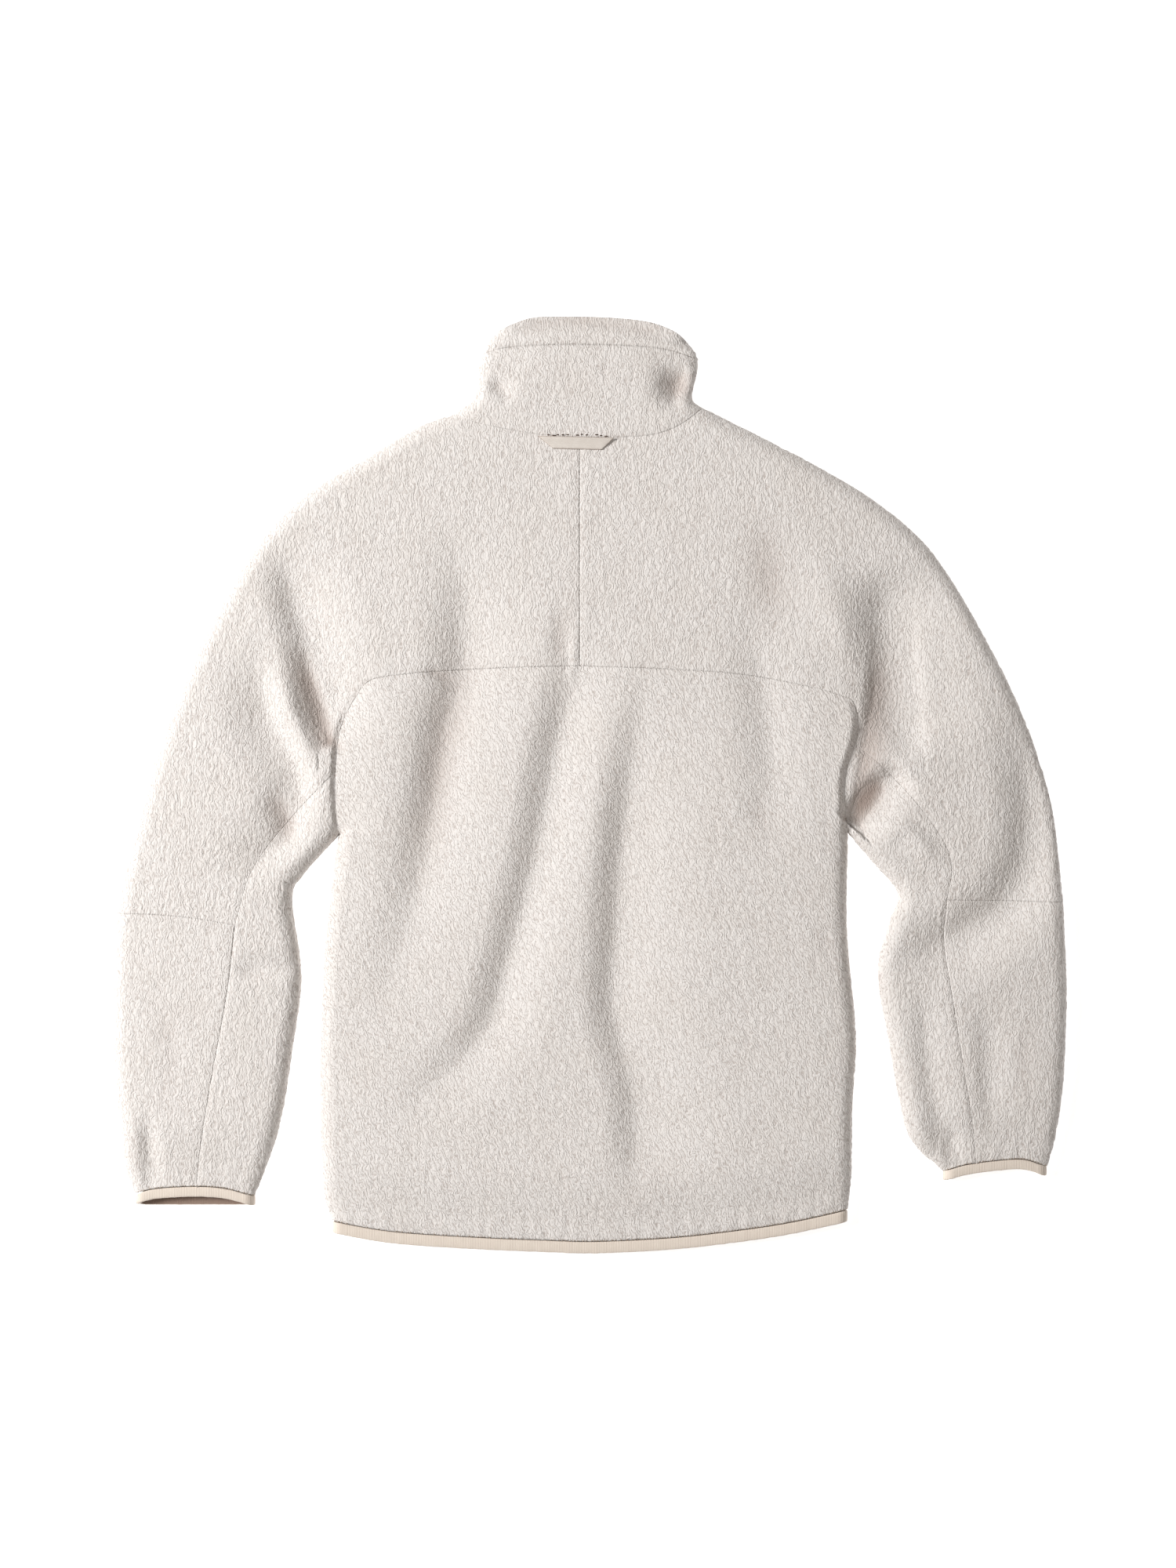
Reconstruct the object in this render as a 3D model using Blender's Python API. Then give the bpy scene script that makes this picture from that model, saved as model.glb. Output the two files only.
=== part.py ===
"""Fleece jacket that lies flat on its front, with its back up.

Metres. +X runs to the right-hand cuff of the back view, +Y to the collar and +Z up. The origin is
on the surface that the jacket lies on, at the middle of its outline. Every cut piece is a wall of
its own, a loft between two boundary curves of its plan, raised by one height function that all
the pieces share, so that neighbours meet along the same seam points.
"""

from collections import namedtuple

import bmesh
import bpy
import numpy as np

# Cloth and the heights at which its layers lie
PILE_WALL = 0.006
SEAM_GAP = 0.0004
SIDE_FOLD_HEIGHT = 0.011
BACK_HEIGHT = 0.026
OPEN_END_HEIGHT = 0.0185
OPEN_END_TAPER = 0.060
LOWEST_BACK = 0.0176
LOWEST_BLEND = 0.0012
EDGE_RADIUS = 0.014
CROWN_RADIUS = 0.055
CROWN_SHARE = 0.25
UNDER_RADIUS = 0.011
EDGE_ROWS = (0.0025, 0.0070, 0.0140)
OUTLINE_PROBE = 0.0008

# Elastic binding round the hem and the cuffs
BINDING_THICKNESS = 0.005
HEM_BINDING_WIDTH = 0.0105
CUFF_BINDING_WIDTH = 0.009
BINDING_GAP = 0.0006
FRONT_BINDING_HEIGHT = 0.0031

# Closing zip at the centre front
CENTRE_FRONT = -0.008
ZIP_SLOT = 0.008
CHAIN_WIDTH = 0.0064
CHAIN_LOW, CHAIN_HIGH = 0.0030, 0.0059
TAPE_WIDTH = 0.030
TAPE_LOW, TAPE_HIGH = 0.0063, 0.0071
SLIDER_SIZE = (0.0070, 0.0120, 0.0033)
SLIDER_MIDDLE_Y = 0.3985
SLIDER_LOW = 0.0026
BRIDGE_LENGTH, BRIDGE_WIDTH = 0.0064, 0.0020
BRIDGE_BAR, BRIDGE_POST = 0.0007, 0.0007
BRIDGE_LOW = 0.0003
TAB_WIDTH, TAB_LENGTH, TAB_THICKNESS = 0.0056, 0.0260, 0.0010
TAB_BAR, TAB_EYE_WIDTH, TAB_EYE_LENGTH = 0.0010, 0.0032, 0.0036
TAB_PIVOT_HEIGHT = 0.0018
TAB_CORNER = 0.0012
CHAIN_LOW_Y = -0.4150
TAPE_LOW_Y, TAPE_HIGH_Y = -0.4030, 0.4070

# Hanger loop, a woven tape folded at both ends
LOOP_THICKNESS = 0.0016
LOOP_LIFT_LOW, LOOP_LIFT_HIGH = 0.0004, 0.0022
LOOP_UPPER_EDGE = ((-0.0465, 0.3095), (0.0215, 0.3080))
LOOP_LOWER_EDGE = ((-0.0325, 0.2985), (0.0105, 0.2975))
LOOP_ROWS, LOOP_COLUMNS = 9, 4

# Outline and seams in plan, each a smooth curve through a few points (x, y)
CURVES = {
    "neck_left": ((-0.009, 0.309), (-0.044, 0.311), (-0.079, 0.317), (-0.104, 0.323), (-0.121, 0.331)),
    "neck_right": ((-0.009, 0.309), (0.033, 0.309), (0.060, 0.312), (0.082, 0.321), (0.101, 0.336)),
    "overarm_left": ((-0.121, 0.331), (-0.153, 0.319), (-0.195, 0.294), (-0.262, 0.252),
                     (-0.308, 0.197), (-0.353, 0.113), (-0.385, 0.030), (-0.411, -0.062),
                     (-0.422, -0.114)),
    "overarm_right": ((0.101, 0.336), (0.153, 0.310), (0.201, 0.285), (0.254, 0.253),
                      (0.302, 0.211), (0.347, 0.141), (0.388, 0.057), (0.412, -0.020),
                      (0.422, -0.104)),
    "lower_overarm_left": ((-0.422, -0.114), (-0.425, -0.181), (-0.423, -0.258), (-0.415, -0.335),
                           (-0.406, -0.364)),
    "lower_overarm_right": ((0.422, -0.104), (0.425, -0.188), (0.422, -0.265), (0.415, -0.314),
                            (0.408, -0.340)),
    "yoke_seam_left": ((-0.009, 0.106), (-0.107, 0.103), (-0.177, 0.097), (-0.198, 0.091),
                       (-0.208, 0.079)),
    "yoke_seam_right": ((-0.009, 0.106), (0.068, 0.103), (0.138, 0.098), (0.201, 0.086),
                        (0.233, 0.076)),
    "upper_crease_left": ((-0.208, 0.079), (-0.218, 0.061), (-0.224, 0.040), (-0.226, 0.012)),
    "upper_crease_right": ((0.233, 0.076), (0.238, 0.063), (0.239, 0.050), (0.236, 0.037)),
    "lower_crease_left": ((-0.226, 0.012), (-0.226, -0.016), (-0.224, -0.044)),
    "lower_crease_right": ((0.236, 0.037), (0.228, 0.010), (0.227, -0.015), (0.230, -0.042)),
    "upper_under_seam_left": ((-0.226, 0.012), (-0.268, -0.031), (-0.300, -0.075), (-0.315, -0.124)),
    "upper_under_seam_right": ((0.236, 0.037), (0.273, 0.004), (0.310, -0.043), (0.321, -0.072),
                               (0.317, -0.102)),
    "lower_under_seam_left": ((-0.315, -0.124), (-0.322, -0.184), (-0.336, -0.261),
                              (-0.348, -0.335), (-0.350, -0.358)),
    "lower_under_seam_right": ((0.317, -0.102), (0.316, -0.146), (0.329, -0.233), (0.341, -0.307),
                               (0.344, -0.337)),
    "elbow_seam_left": ((-0.422, -0.114), (-0.386, -0.115), (-0.352, -0.118), (-0.315, -0.124)),
    "elbow_seam_right": ((0.422, -0.104), (0.369, -0.103), (0.317, -0.102)),
    "inner_sleeve_left": ((-0.224, -0.044), (-0.257, -0.081), (-0.266, -0.103), (-0.258, -0.170),
                          (-0.266, -0.237), (-0.278, -0.307), (-0.299, -0.366)),
    "inner_sleeve_right": ((0.230, -0.042), (0.253, -0.069), (0.275, -0.097), (0.267, -0.124),
                           (0.257, -0.167), (0.266, -0.223), (0.276, -0.279), (0.287, -0.317),
                           (0.315, -0.344)),
    "side_left": ((-0.224, -0.044), (-0.229, -0.083), (-0.236, -0.142), (-0.240, -0.230),
                  (-0.240, -0.300), (-0.237, -0.363), (-0.230, -0.388)),
    "side_right": ((0.230, -0.042), (0.229, -0.128), (0.237, -0.223), (0.234, -0.286),
                   (0.233, -0.349), (0.230, -0.378)),
    "hem_line": ((-0.230, -0.388), (-0.177, -0.397), (-0.107, -0.402), (-0.037, -0.405),
                 (0.005, -0.406), (0.068, -0.403), (0.117, -0.398), (0.173, -0.390),
                 (0.230, -0.378)),
    "cuff_line_left": ((-0.406, -0.364), (-0.387, -0.359), (-0.352, -0.357), (-0.324, -0.359),
                       (-0.299, -0.366)),
    "cuff_line_right": ((0.408, -0.340), (0.387, -0.333), (0.362, -0.334), (0.334, -0.338),
                        (0.315, -0.344)),
    "collar_side_left": ((-0.121, 0.331), (-0.108, 0.340), (-0.103, 0.348), (-0.099, 0.372),
                         (-0.095, 0.385)),
    "collar_side_right": ((0.101, 0.336), (0.092, 0.342), (0.091, 0.350), (0.095, 0.367),
                          (0.096, 0.380)),
    "band_side_left": ((-0.095, 0.385), (-0.090, 0.395), (-0.083, 0.404)),
    "band_side_right": ((0.096, 0.380), (0.092, 0.389), (0.085, 0.397)),
    "band_seam": ((-0.095, 0.385), (-0.067, 0.390), (-0.006, 0.392), (0.061, 0.389),
                  (0.096, 0.380)),
    "mouth": ((-0.083, 0.404), (-0.068, 0.411), (-0.048, 0.4166), (-0.009, 0.4172), (0.026, 0.4157),
              (0.054, 0.412), (0.073, 0.405), (0.085, 0.397)),
    "front_neck_left": ((-0.121, 0.331), (-0.113, 0.303), (-0.079, 0.256), (-0.040, 0.238),
                        (-0.012, 0.234)),
    "front_neck_right": ((0.101, 0.336), (0.095, 0.303), (0.062, 0.256), (0.024, 0.238),
                         (-0.004, 0.234)),
    "raglan_left": ((-0.150, 0.120), (-0.203, 0.015), (-0.224, -0.044)),
    "raglan_right": ((0.135, 0.120), (0.205, 0.015), (0.230, -0.042)),
}

# Folds as soft troughs: a path, its depth (negative for a ridge), the width of its two slopes, seen
# walking along the path, and the shares of its length over which it fades in and out
Fold = namedtuple("Fold", "name path depth left right fade_in fade_out")
FOLDS = (
    Fold("blade_left", ((-0.126, 0.250), (-0.112, 0.168), (-0.112, 0.108), (-0.127, 0.045),
                        (-0.140, -0.034), (-0.162, -0.130), (-0.208, -0.260)),
         0.0082, 0.075, 0.046, 0.28, 0.55),
    Fold("centre_left", ((-0.015, 0.165), (-0.015, 0.099), (-0.029, 0.030), (-0.046, -0.060),
                         (-0.070, -0.150), (-0.098, -0.226), (-0.190, -0.315)),
         0.0070, 0.055, 0.034, 0.25, 0.35),
    Fold("centre", ((0.060, 0.125), (0.043, 0.045), (0.031, -0.050), (0.026, -0.125),
                    (0.023, -0.195), (0.040, -0.265), (0.043, -0.330), (0.030, -0.400)),
         0.0078, 0.090, 0.034, 0.35, 0.20),
    Fold("right_blade", ((0.135, 0.200), (0.156, 0.071), (0.163, -0.027), (0.159, -0.090)),
         0.0035, 0.045, 0.040, 0.45, 0.45),
    Fold("left_arm_front", ((-0.282, 0.225), (-0.252, 0.141), (-0.234, 0.078), (-0.224, 0.050),
                            (-0.226, 0.029)), 0.0100, 0.060, 0.034, 0.35, 0.25),
    Fold("left_arm_ridge", ((-0.285, 0.110), (-0.262, 0.050), (-0.244, 0.010), (-0.232, 0.022)),
         -0.0030, 0.018, 0.018, 0.40, 0.30),
    Fold("left_arm_back", ((-0.301, 0.141), (-0.288, 0.064), (-0.262, 0.012), (-0.267, -0.037),
                           (-0.299, -0.071), (-0.313, -0.104)), 0.0080, 0.026, 0.050, 0.35, 0.30),
    Fold("right_arm_front", ((0.257, 0.201), (0.270, 0.141), (0.278, 0.071), (0.283, 0.043),
                             (0.289, 0.015)), 0.0120, 0.080, 0.050, 0.30, 0.25),
    Fold("right_arm_ridge", ((0.292, 0.170), (0.300, 0.070), (0.308, 0.000)),
         -0.0020, 0.026, 0.016, 0.40, 0.40),
    Fold("right_shoulder_ridge", ((0.196, 0.225), (0.218, 0.155), (0.232, 0.100)),
         -0.0030, 0.045, 0.050, 0.45, 0.30),
    Fold("right_armpit", ((0.283, 0.015), (0.263, -0.002), (0.249, -0.020), (0.233, -0.037)),
         0.0100, 0.034, 0.024, 0.25, 0.00),
    Fold("right_under_ridge", ((0.248, -0.045), (0.280, -0.040), (0.312, -0.075)),
         -0.0025, 0.015, 0.018, 0.30, 0.35),
    Fold("right_elbow", ((0.372, 0.100), (0.392, 0.001), (0.392, -0.060), (0.372, -0.105),
                         (0.335, -0.133), (0.290, -0.152), (0.258, -0.172)),
         0.0100, 0.050, 0.042, 0.40, 0.25),
    Fold("right_forearm", ((0.352, -0.180), (0.355, -0.244), (0.354, -0.324)),
         0.0026, 0.034, 0.022, 0.35, 0.40),
    Fold("right_forearm_inner", ((0.294, -0.163), (0.303, -0.265), (0.322, -0.342)),
         0.0026, 0.026, 0.018, 0.35, 0.20),
    Fold("left_forearm", ((-0.322, -0.164), (-0.289, -0.164), (-0.255, -0.162)),
         0.0026, 0.022, 0.014, 0.40, 0.10),
    Fold("left_cuff_pleat", ((-0.394, -0.285), (-0.390, -0.360)), 0.0030, 0.016, 0.012, 0.45, 0.10),
    Fold("right_cuff_pleat", ((0.321, -0.300), (0.324, -0.342)), 0.0026, 0.014, 0.010, 0.45, 0.10),
    Fold("collar_dimple_right", ((0.064, 0.328), (0.072, 0.357), (0.077, 0.380)),
         0.0055, 0.024, 0.022, 0.40, 0.40),
    Fold("collar_dimple_left", ((-0.096, 0.359), (-0.080, 0.352), (-0.064, 0.343)),
         0.0026, 0.016, 0.014, 0.40, 0.40),
    Fold("armhole_left", ((-0.190, 0.094), (-0.208, 0.079), (-0.218, 0.061), (-0.224, 0.040),
                          (-0.226, 0.012), (-0.226, -0.016), (-0.224, -0.044)),
         0.0050, 0.040, 0.014, 0.55, 0.00),
    Fold("armhole_right", ((0.215, 0.082), (0.233, 0.076), (0.239, 0.060), (0.236, 0.037),
                           (0.228, 0.010), (0.227, -0.015), (0.230, -0.042)),
         0.0060, 0.030, 0.012, 0.45, 0.00),
)
FOLD_STEPS = 28

# Cells along each shared seam, and where the overarm is divided between the yoke's three stretches
NECK_CELLS = 7
YOKE_SEAM_CELLS = 14
UPPER_CREASE_CELLS = 3
LOWER_CREASE_CELLS = 3
UPPER_UNDER_CELLS = 12
LOWER_UNDER_CELLS = 9
SIDE_CELLS = 13
ARM_ACROSS_CELLS = 9
UNDER_ACROSS_CELLS = 6
COLLAR_UP_CELLS = 4
BAND_UP_CELLS = 3
OVERARM_STOPS = (0.0, 0.24, 0.46, 1.0)
ARMHOLE_CELLS = 7
FRONT_ARM_CELLS = 14
FRONT_ACROSS_CELLS = 6
FRONT_NECK_CELLS = 6
TIP_SHARE = 0.25
HEM_RUN_CELLS = 30
CUFF_RUN_CELLS = 12
BINDING_TURN_CELLS = 6
BINDING_STEP = 0.004
BINDING_CORNER = 0.0008
OUTER_FOREARM_CELLS = 6
NECK_ROWS = (0.004, 0.012)
EDGE_CHANGE_ROWS = 3
BEND_POWER = 4
FOLD_SOFTNESS = 0.004
RIM_DIRECTION = (1.0, 0.618)

FLEECE = ("cream sherpa fleece", (0.745, 0.690, 0.640, 1.0), 1.0, 0.0)
BINDING = ("beige elastic binding", (0.800, 0.720, 0.620, 1.0), 0.85, 0.0)
TAPE = ("beige woven tape", (0.790, 0.715, 0.620, 1.0), 0.8, 0.0)
CHAIN = ("cream moulded zip chain", (0.760, 0.700, 0.610, 1.0), 0.45, 0.0)
METAL = ("brushed nickel", (0.620, 0.600, 0.570, 1.0), 0.35, 1.0)


def smooth_curve(points, steps_each=10):
    """Catmull-Rom curve through the points, as a fine run of straight steps."""
    knots = np.array(points, float)
    first = 2 * knots[0] - knots[1]
    last = 2 * knots[-1] - knots[-2]
    knots = np.vstack((first, knots, last))
    t = np.linspace(0, 1, steps_each, endpoint=False)[:, None]
    pieces = []
    for a, b, c, d in zip(knots[:-3], knots[1:-2], knots[2:-1], knots[3:]):
        pieces.append(0.5 * (2 * b + (c - a) * t + (2 * a - 5 * b + 4 * c - d) * t ** 2
                             + (3 * b - a - 3 * c + d) * t ** 3))
    return np.vstack(pieces + [knots[-2:-1]])


def place_along(path, shares):
    """Points of a path at the given shares of its length."""
    lengths = np.concatenate(([0.0], np.cumsum(np.linalg.norm(np.diff(path, axis=0), axis=1))))
    wanted = np.asarray(shares) * lengths[-1]
    return np.column_stack([np.interp(wanted, lengths, path[:, k]) for k in range(path.shape[1])])


def seam(name, cells, first_rows=(), last_rows=()):
    """A named curve in cells, close together where it starts or ends on the garment's edge."""
    path = smooth_curve(CURVES[name])
    length = np.linalg.norm(np.diff(path, axis=0), axis=1).sum()
    return place_along(path, spread(length, cells, first_rows, last_rows))


def spread(length, cells, first_rows=(), last_rows=()):
    """Shares of a length from 0 to 1: given rows near one or both ends and even rows between."""
    low = [0.0] + [row / length for row in first_rows]
    high = [1.0 - row / length for row in reversed(last_rows)] + [1.0]
    between = cells - len(first_rows) - len(last_rows)
    middle = np.linspace(low[-1], high[0], between + 1)[1:-1]
    return np.concatenate((low, middle, high))


OUTLINE = [smooth_curve(CURVES[name + side]) for side in ("_left", "_right")
           for name in ("overarm", "lower_overarm", "inner_sleeve", "side", "collar_side",
                        "band_side")]
OPEN_ENDS = [smooth_curve(CURVES[name]) for name in ("hem_line", "cuff_line_left",
                                                     "cuff_line_right", "mouth")]


def foot_on(points, path):
    """Distance in plan to a path, the foot's share of its length, the side (+1 is left) and the
    vector from the foot to the point."""
    step = np.diff(path, axis=0)
    offset = points[:, None, :] - path[None, :-1, :]
    share = np.clip((offset * step).sum(2) / (step ** 2).sum(1), 0, 1)
    reach = offset - share[:, :, None] * step
    squared = (reach ** 2).sum(2)
    nearest = squared.argmin(1)
    row = np.arange(len(points))
    lengths = np.linalg.norm(step, axis=1)
    before = np.concatenate(([0.0], np.cumsum(lengths)))
    along = (before[nearest] + share[row, nearest] * lengths[nearest]) / before[-1]
    turn = step[nearest, 0] * offset[row, nearest, 1] - step[nearest, 1] * offset[row, nearest, 0]
    side = np.where(turn >= 0, 1.0, -1.0)
    return np.sqrt(squared[row, nearest]), along, side, reach[row, nearest]


def distance_to(points, paths):
    """Shortest distance in plan from each point to any of the paths."""
    return np.min([foot_on(points, path)[0] for path in paths], axis=0)


def ease(value):
    """Smooth rise from 0 to 1."""
    value = np.clip(value, 0, 1)
    return value * value * (3 - 2 * value)


def fold_depth(points):
    """Sum of the folds: depth times (1 - t) squared, where t goes from 0 on the path to 1 at the
    top of the slope, softened where it meets the path."""
    total = np.zeros(len(points))
    for fold in FOLDS:
        path = place_along(smooth_curve(fold.path), np.linspace(0, 1, FOLD_STEPS))
        distance, along, side, _ = foot_on(points, path)
        distance = np.hypot(distance, FOLD_SOFTNESS) - FOLD_SOFTNESS
        across = np.clip(distance / (np.where(side > 0, fold.left, fold.right) - FOLD_SOFTNESS), 0, 1)
        fade = ease(along / max(fold.fade_in, 1e-6)) * ease((1 - along) / max(fold.fade_out, 1e-6))
        total += fold.depth * (1 - across) ** 2 * fade
    return total


def rounding(distance, radius):
    """Quarter circle that rises from 0 at the outline to 1 at the radius."""
    inward = np.clip(distance / radius, 0, 1)
    return np.sqrt(1 - (1 - inward) ** 2)


def back_height(points):
    """Height of the back's outer face over plan points."""
    edge = distance_to(points, OUTLINE)
    profile = ((1 - CROWN_SHARE) * rounding(edge, EDGE_RADIUS)
               + CROWN_SHARE * rounding(edge, CROWN_RADIUS))
    open_end = ease(distance_to(points, OPEN_ENDS) / OPEN_END_TAPER)
    full = OPEN_END_HEIGHT + (BACK_HEIGHT - OPEN_END_HEIGHT) * open_end - fold_depth(points)
    over = (full - LOWEST_BACK) / LOWEST_BLEND
    full = LOWEST_BACK + LOWEST_BLEND * np.logaddexp(0, over)
    return SIDE_FOLD_HEIGHT + (full - SIDE_FOLD_HEIGHT) * profile


def front_height(points):
    """Height of the front's outer face, flat on the surface but for its rounded edge."""
    edge = distance_to(points, OUTLINE)
    return SIDE_FOLD_HEIGHT * (1 - rounding(edge, UNDER_RADIUS))


def inward_from_outline(points):
    """Distance to the garment's outline and the unit vector in plan that points away from it."""
    reaches = np.array([foot_on(points, path)[3] for path in OUTLINE])
    distances = np.linalg.norm(reaches, axis=2)
    nearest = distances.argmin(0)
    row = np.arange(len(points))
    distance = distances[nearest, row]
    return distance, reaches[nearest, row] / np.maximum(distance, 1e-9)[:, None]


def into_cloth(points, upward):
    """Unit vectors through the wall: straight inward on the outline and turning, as the edge
    rounds over, to straight down through the back or straight up through the front."""
    distance, away = inward_from_outline(points)
    rise = rounding(distance, EDGE_RADIUS)[:, None]
    level = np.clip(1 - distance / EDGE_RADIUS, 0, 1)[:, None]
    return np.hstack((away * level, -rise if upward else rise))


def between_sides(first, last, shares, start=None, end=None):
    """Plan grid of straight runs between two boundary curves, bent at both ends to fit the
    given end curves. shares holds one row of cross shares for each run."""
    grid = first[:, None, :] + shares[:, :, None] * (last - first)[:, None, :]
    place = np.linspace(0, 1, len(first))[:, None, None]
    if start is not None:
        grid = grid + (start - grid[0])[None] * (1 - place) ** BEND_POWER
    if end is not None:
        grid = grid + (end - grid[-1])[None] * place ** BEND_POWER
    return grid


def pull_in(plan, seam_sides):
    """Move the sides that are sewn to a neighbour half a seam gap into the piece."""
    moved = plan.copy()
    for side in seam_sides:
        rim, inner = {"start": (np.s_[0, :], np.s_[1, :]), "end": (np.s_[-1, :], np.s_[-2, :]),
                      "first": (np.s_[:, 0], np.s_[:, 1]), "last": (np.s_[:, -1], np.s_[:, -2])}[side]
        along = np.gradient(plan[rim], axis=0)
        along /= np.linalg.norm(along, axis=1)[:, None]
        step = plan[inner] - plan[rim]
        step -= (step * along).sum(1)[:, None] * along
        moved[rim] += step / np.linalg.norm(step, axis=1)[:, None] * SEAM_GAP / 2
    return moved


def wall(name, plan, height, upward, outline_rows, seam_sides, finish):
    """Closed wall over a plan grid. The outer face follows the height function and the inner one
    lies a wall's thickness into the cloth. outline_rows lists (row, column, inner row, inner
    column) index arrays of the points on the outline, each with its neighbour inward."""
    rows, columns = plan.shape[:2]
    flat = plan.reshape(-1, 2)
    level = height(flat).reshape(rows, columns)
    through = into_cloth(flat, upward).reshape(rows, columns, 3)
    for row, column, inner_row, inner_column in outline_rows:
        inward = plan[inner_row, inner_column] - plan[row, column]
        inward /= np.linalg.norm(inward, axis=-1)[:, None]
        _, away = inward_from_outline(plan[row, column] + OUTLINE_PROBE * inward)
        through[row, column] = np.column_stack((away, np.zeros(len(away))))
        level[row, column] = SIDE_FOLD_HEIGHT + SEAM_GAP / 2 * (1 if upward else -1)
    outer = np.dstack((pull_in(plan, seam_sides), level))
    inner = outer + through * PILE_WALL
    meeting = SIDE_FOLD_HEIGHT + SEAM_GAP / 2 * (1 if upward else -1)
    inner[..., 2] = (np.maximum if upward else np.minimum)(inner[..., 2], meeting)
    return closed_grid(name, outer, inner, finish)


def closed_grid(name, outer, inner, finish):
    """Mesh object from two grids of points and the rim that joins them."""
    rows, columns = outer.shape[:2]
    index = np.arange(rows * columns).reshape(rows, columns)
    cells = np.stack((index[:-1, :-1], index[1:, :-1], index[1:, 1:], index[:-1, 1:]), axis=-1)
    cells = cells.reshape(-1, 4)
    ring = np.concatenate((index[0, :-1], index[:-1, -1], index[-1, :0:-1], index[:0:-1, 0]))
    count = rows * columns
    points = np.vstack((outer.reshape(-1, 3), inner.reshape(-1, 3)))
    rim = rim_triangles(points, ring, np.roll(ring, -1), count)
    faces = cells.tolist() + (cells[:, ::-1] + count).tolist() + rim
    return mesh_object(name, points.tolist(), faces, finish)


def rim_triangles(points, here, ahead, count):
    """Rim faces, each split on the diagonal from its outer corner that lies further to the lower
    left, so that the two walls at a seam are split alike and stay parallel."""
    rank = points[:, :2] @ np.array(RIM_DIRECTION)
    forward = rank[here] < rank[ahead]
    first = np.column_stack((here, ahead, np.where(forward, ahead, here) + count))
    second = np.column_stack((np.where(forward, here, ahead), ahead + count, here + count))
    return np.vstack((first, second)).tolist()


def mesh_object(name, points, faces, finish):
    """Closed mesh object with its faces turned out."""
    mesh = bpy.data.meshes.new(name)
    mesh.from_pydata(points, [], faces)
    turn_out(mesh)
    mesh.shade_smooth()
    return keep(bpy.data.objects.new(name, mesh), finish)


def turn_out(mesh):
    """Turn all faces of a closed mesh outward."""
    shape = bmesh.new()
    shape.from_mesh(mesh)
    bmesh.ops.recalc_face_normals(shape, faces=shape.faces)
    if shape.calc_volume(signed=True) < 0:
        bmesh.ops.reverse_faces(shape, faces=shape.faces)
    shape.to_mesh(mesh)
    shape.free()


def keep(item, finish):
    """Link an object to the garment's collection and give it its finish."""
    garment.objects.link(item)
    item.data.materials.clear()
    item.data.materials.append(material(*finish))
    return item


def material(name, colour, roughness, metallic):
    """Principled material with a colour, roughness and metallic value."""
    made = bpy.data.materials.get(name) or bpy.data.materials.new(name)
    made.use_nodes = True
    shader = made.node_tree.nodes["Principled BSDF"]
    shader.inputs["Base Color"].default_value = colour
    shader.inputs["Roughness"].default_value = roughness
    shader.inputs["Metallic"].default_value = metallic
    return made


def outline_column(rows, column, inner_column):
    """Outline points down one column of a grid, each with its neighbour inward."""
    rows = np.asarray(rows)
    return rows, np.full(len(rows), column), rows, np.full(len(rows), inner_column)


def neck_half(side):
    """Neck seam from the centre back to the shoulder point."""
    return seam("neck_" + side, NECK_CELLS, last_rows=NECK_ROWS)


def overarm(side, cells):
    """Outline of the upper sleeve from the shoulder point to the elbow seam, in three stretches."""
    path = smooth_curve(CURVES["overarm_" + side])
    stops = [np.linspace(a, b, n + 1)[1:] for a, b, n in zip(OVERARM_STOPS, OVERARM_STOPS[1:], cells)]
    return place_along(path, np.concatenate([[0.0]] + stops))


def across_rows(first, last, cells):
    """Cross shares for each run between two curves, close together at the first one."""
    lengths = np.linalg.norm(last - first, axis=1)
    return np.array([spread(length, cells, first_rows=EDGE_ROWS) for length in lengths])


def back_yoke(side):
    """Yoke and upper sleeve, cut in one from the centre back to the elbow seam."""
    neck = neck_half(side)
    stretch = (YOKE_SEAM_CELLS - NECK_CELLS, UPPER_CREASE_CELLS, UPPER_UNDER_CELLS)
    upper = np.vstack((neck, overarm(side, stretch)[1:]))
    lower = np.vstack((seam("yoke_seam_" + side, YOKE_SEAM_CELLS),
                       seam("upper_crease_" + side, UPPER_CREASE_CELLS)[1:],
                       seam("upper_under_seam_" + side, UPPER_UNDER_CELLS)[1:]))
    shares = across_rows(upper, lower, ARM_ACROSS_CELLS)
    plan = between_sides(upper, lower, shares, end=elbow_seam(side))
    edge = outline_column(range(NECK_CELLS, len(upper)), 0, 1)
    plan[:NECK_CELLS + 1] = pull_in(plan, ("first",))[:NECK_CELLS + 1]
    return wall("back_yoke_" + side, plan, back_height, True, (edge,), ("start", "end", "last"),
                FLEECE)


def elbow_seam(side):
    """Elbow seam from the outline to the under-sleeve seam."""
    return seam("elbow_seam_" + side, ARM_ACROSS_CELLS, first_rows=EDGE_ROWS)


def back_forearm(side):
    """Outer forearm between the elbow seam and the cuff binding."""
    inner = seam("lower_under_seam_" + side, LOWER_UNDER_CELLS)
    outer = seam("lower_overarm_" + side, LOWER_UNDER_CELLS)
    shares = across_rows(outer, inner, ARM_ACROSS_CELLS)
    cuff = cuff_run(side, 0.0, shares[-1])
    plan = between_sides(outer, inner, shares, start=elbow_seam(side), end=cuff)
    edge = outline_column(range(len(outer)), 0, 1)
    return wall("back_forearm_" + side, plan, back_height, True, (edge,),
                ("start", "end", "last"), FLEECE)


def cuff_run(side, start, shares):
    """Stretch of the cuff line from one of its ends, 0 at the outer forearm or 1 at the
    under-sleeve, to the seam between them."""
    path = smooth_curve(CURVES["cuff_line_" + side])
    corner = np.array(CURVES["lower_under_seam_" + side][-1])
    split = foot_on(corner[None], path)[1][0]
    run = place_along(path, start + np.asarray(shares) * (split - start))
    run[-1] = corner
    return run


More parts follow.
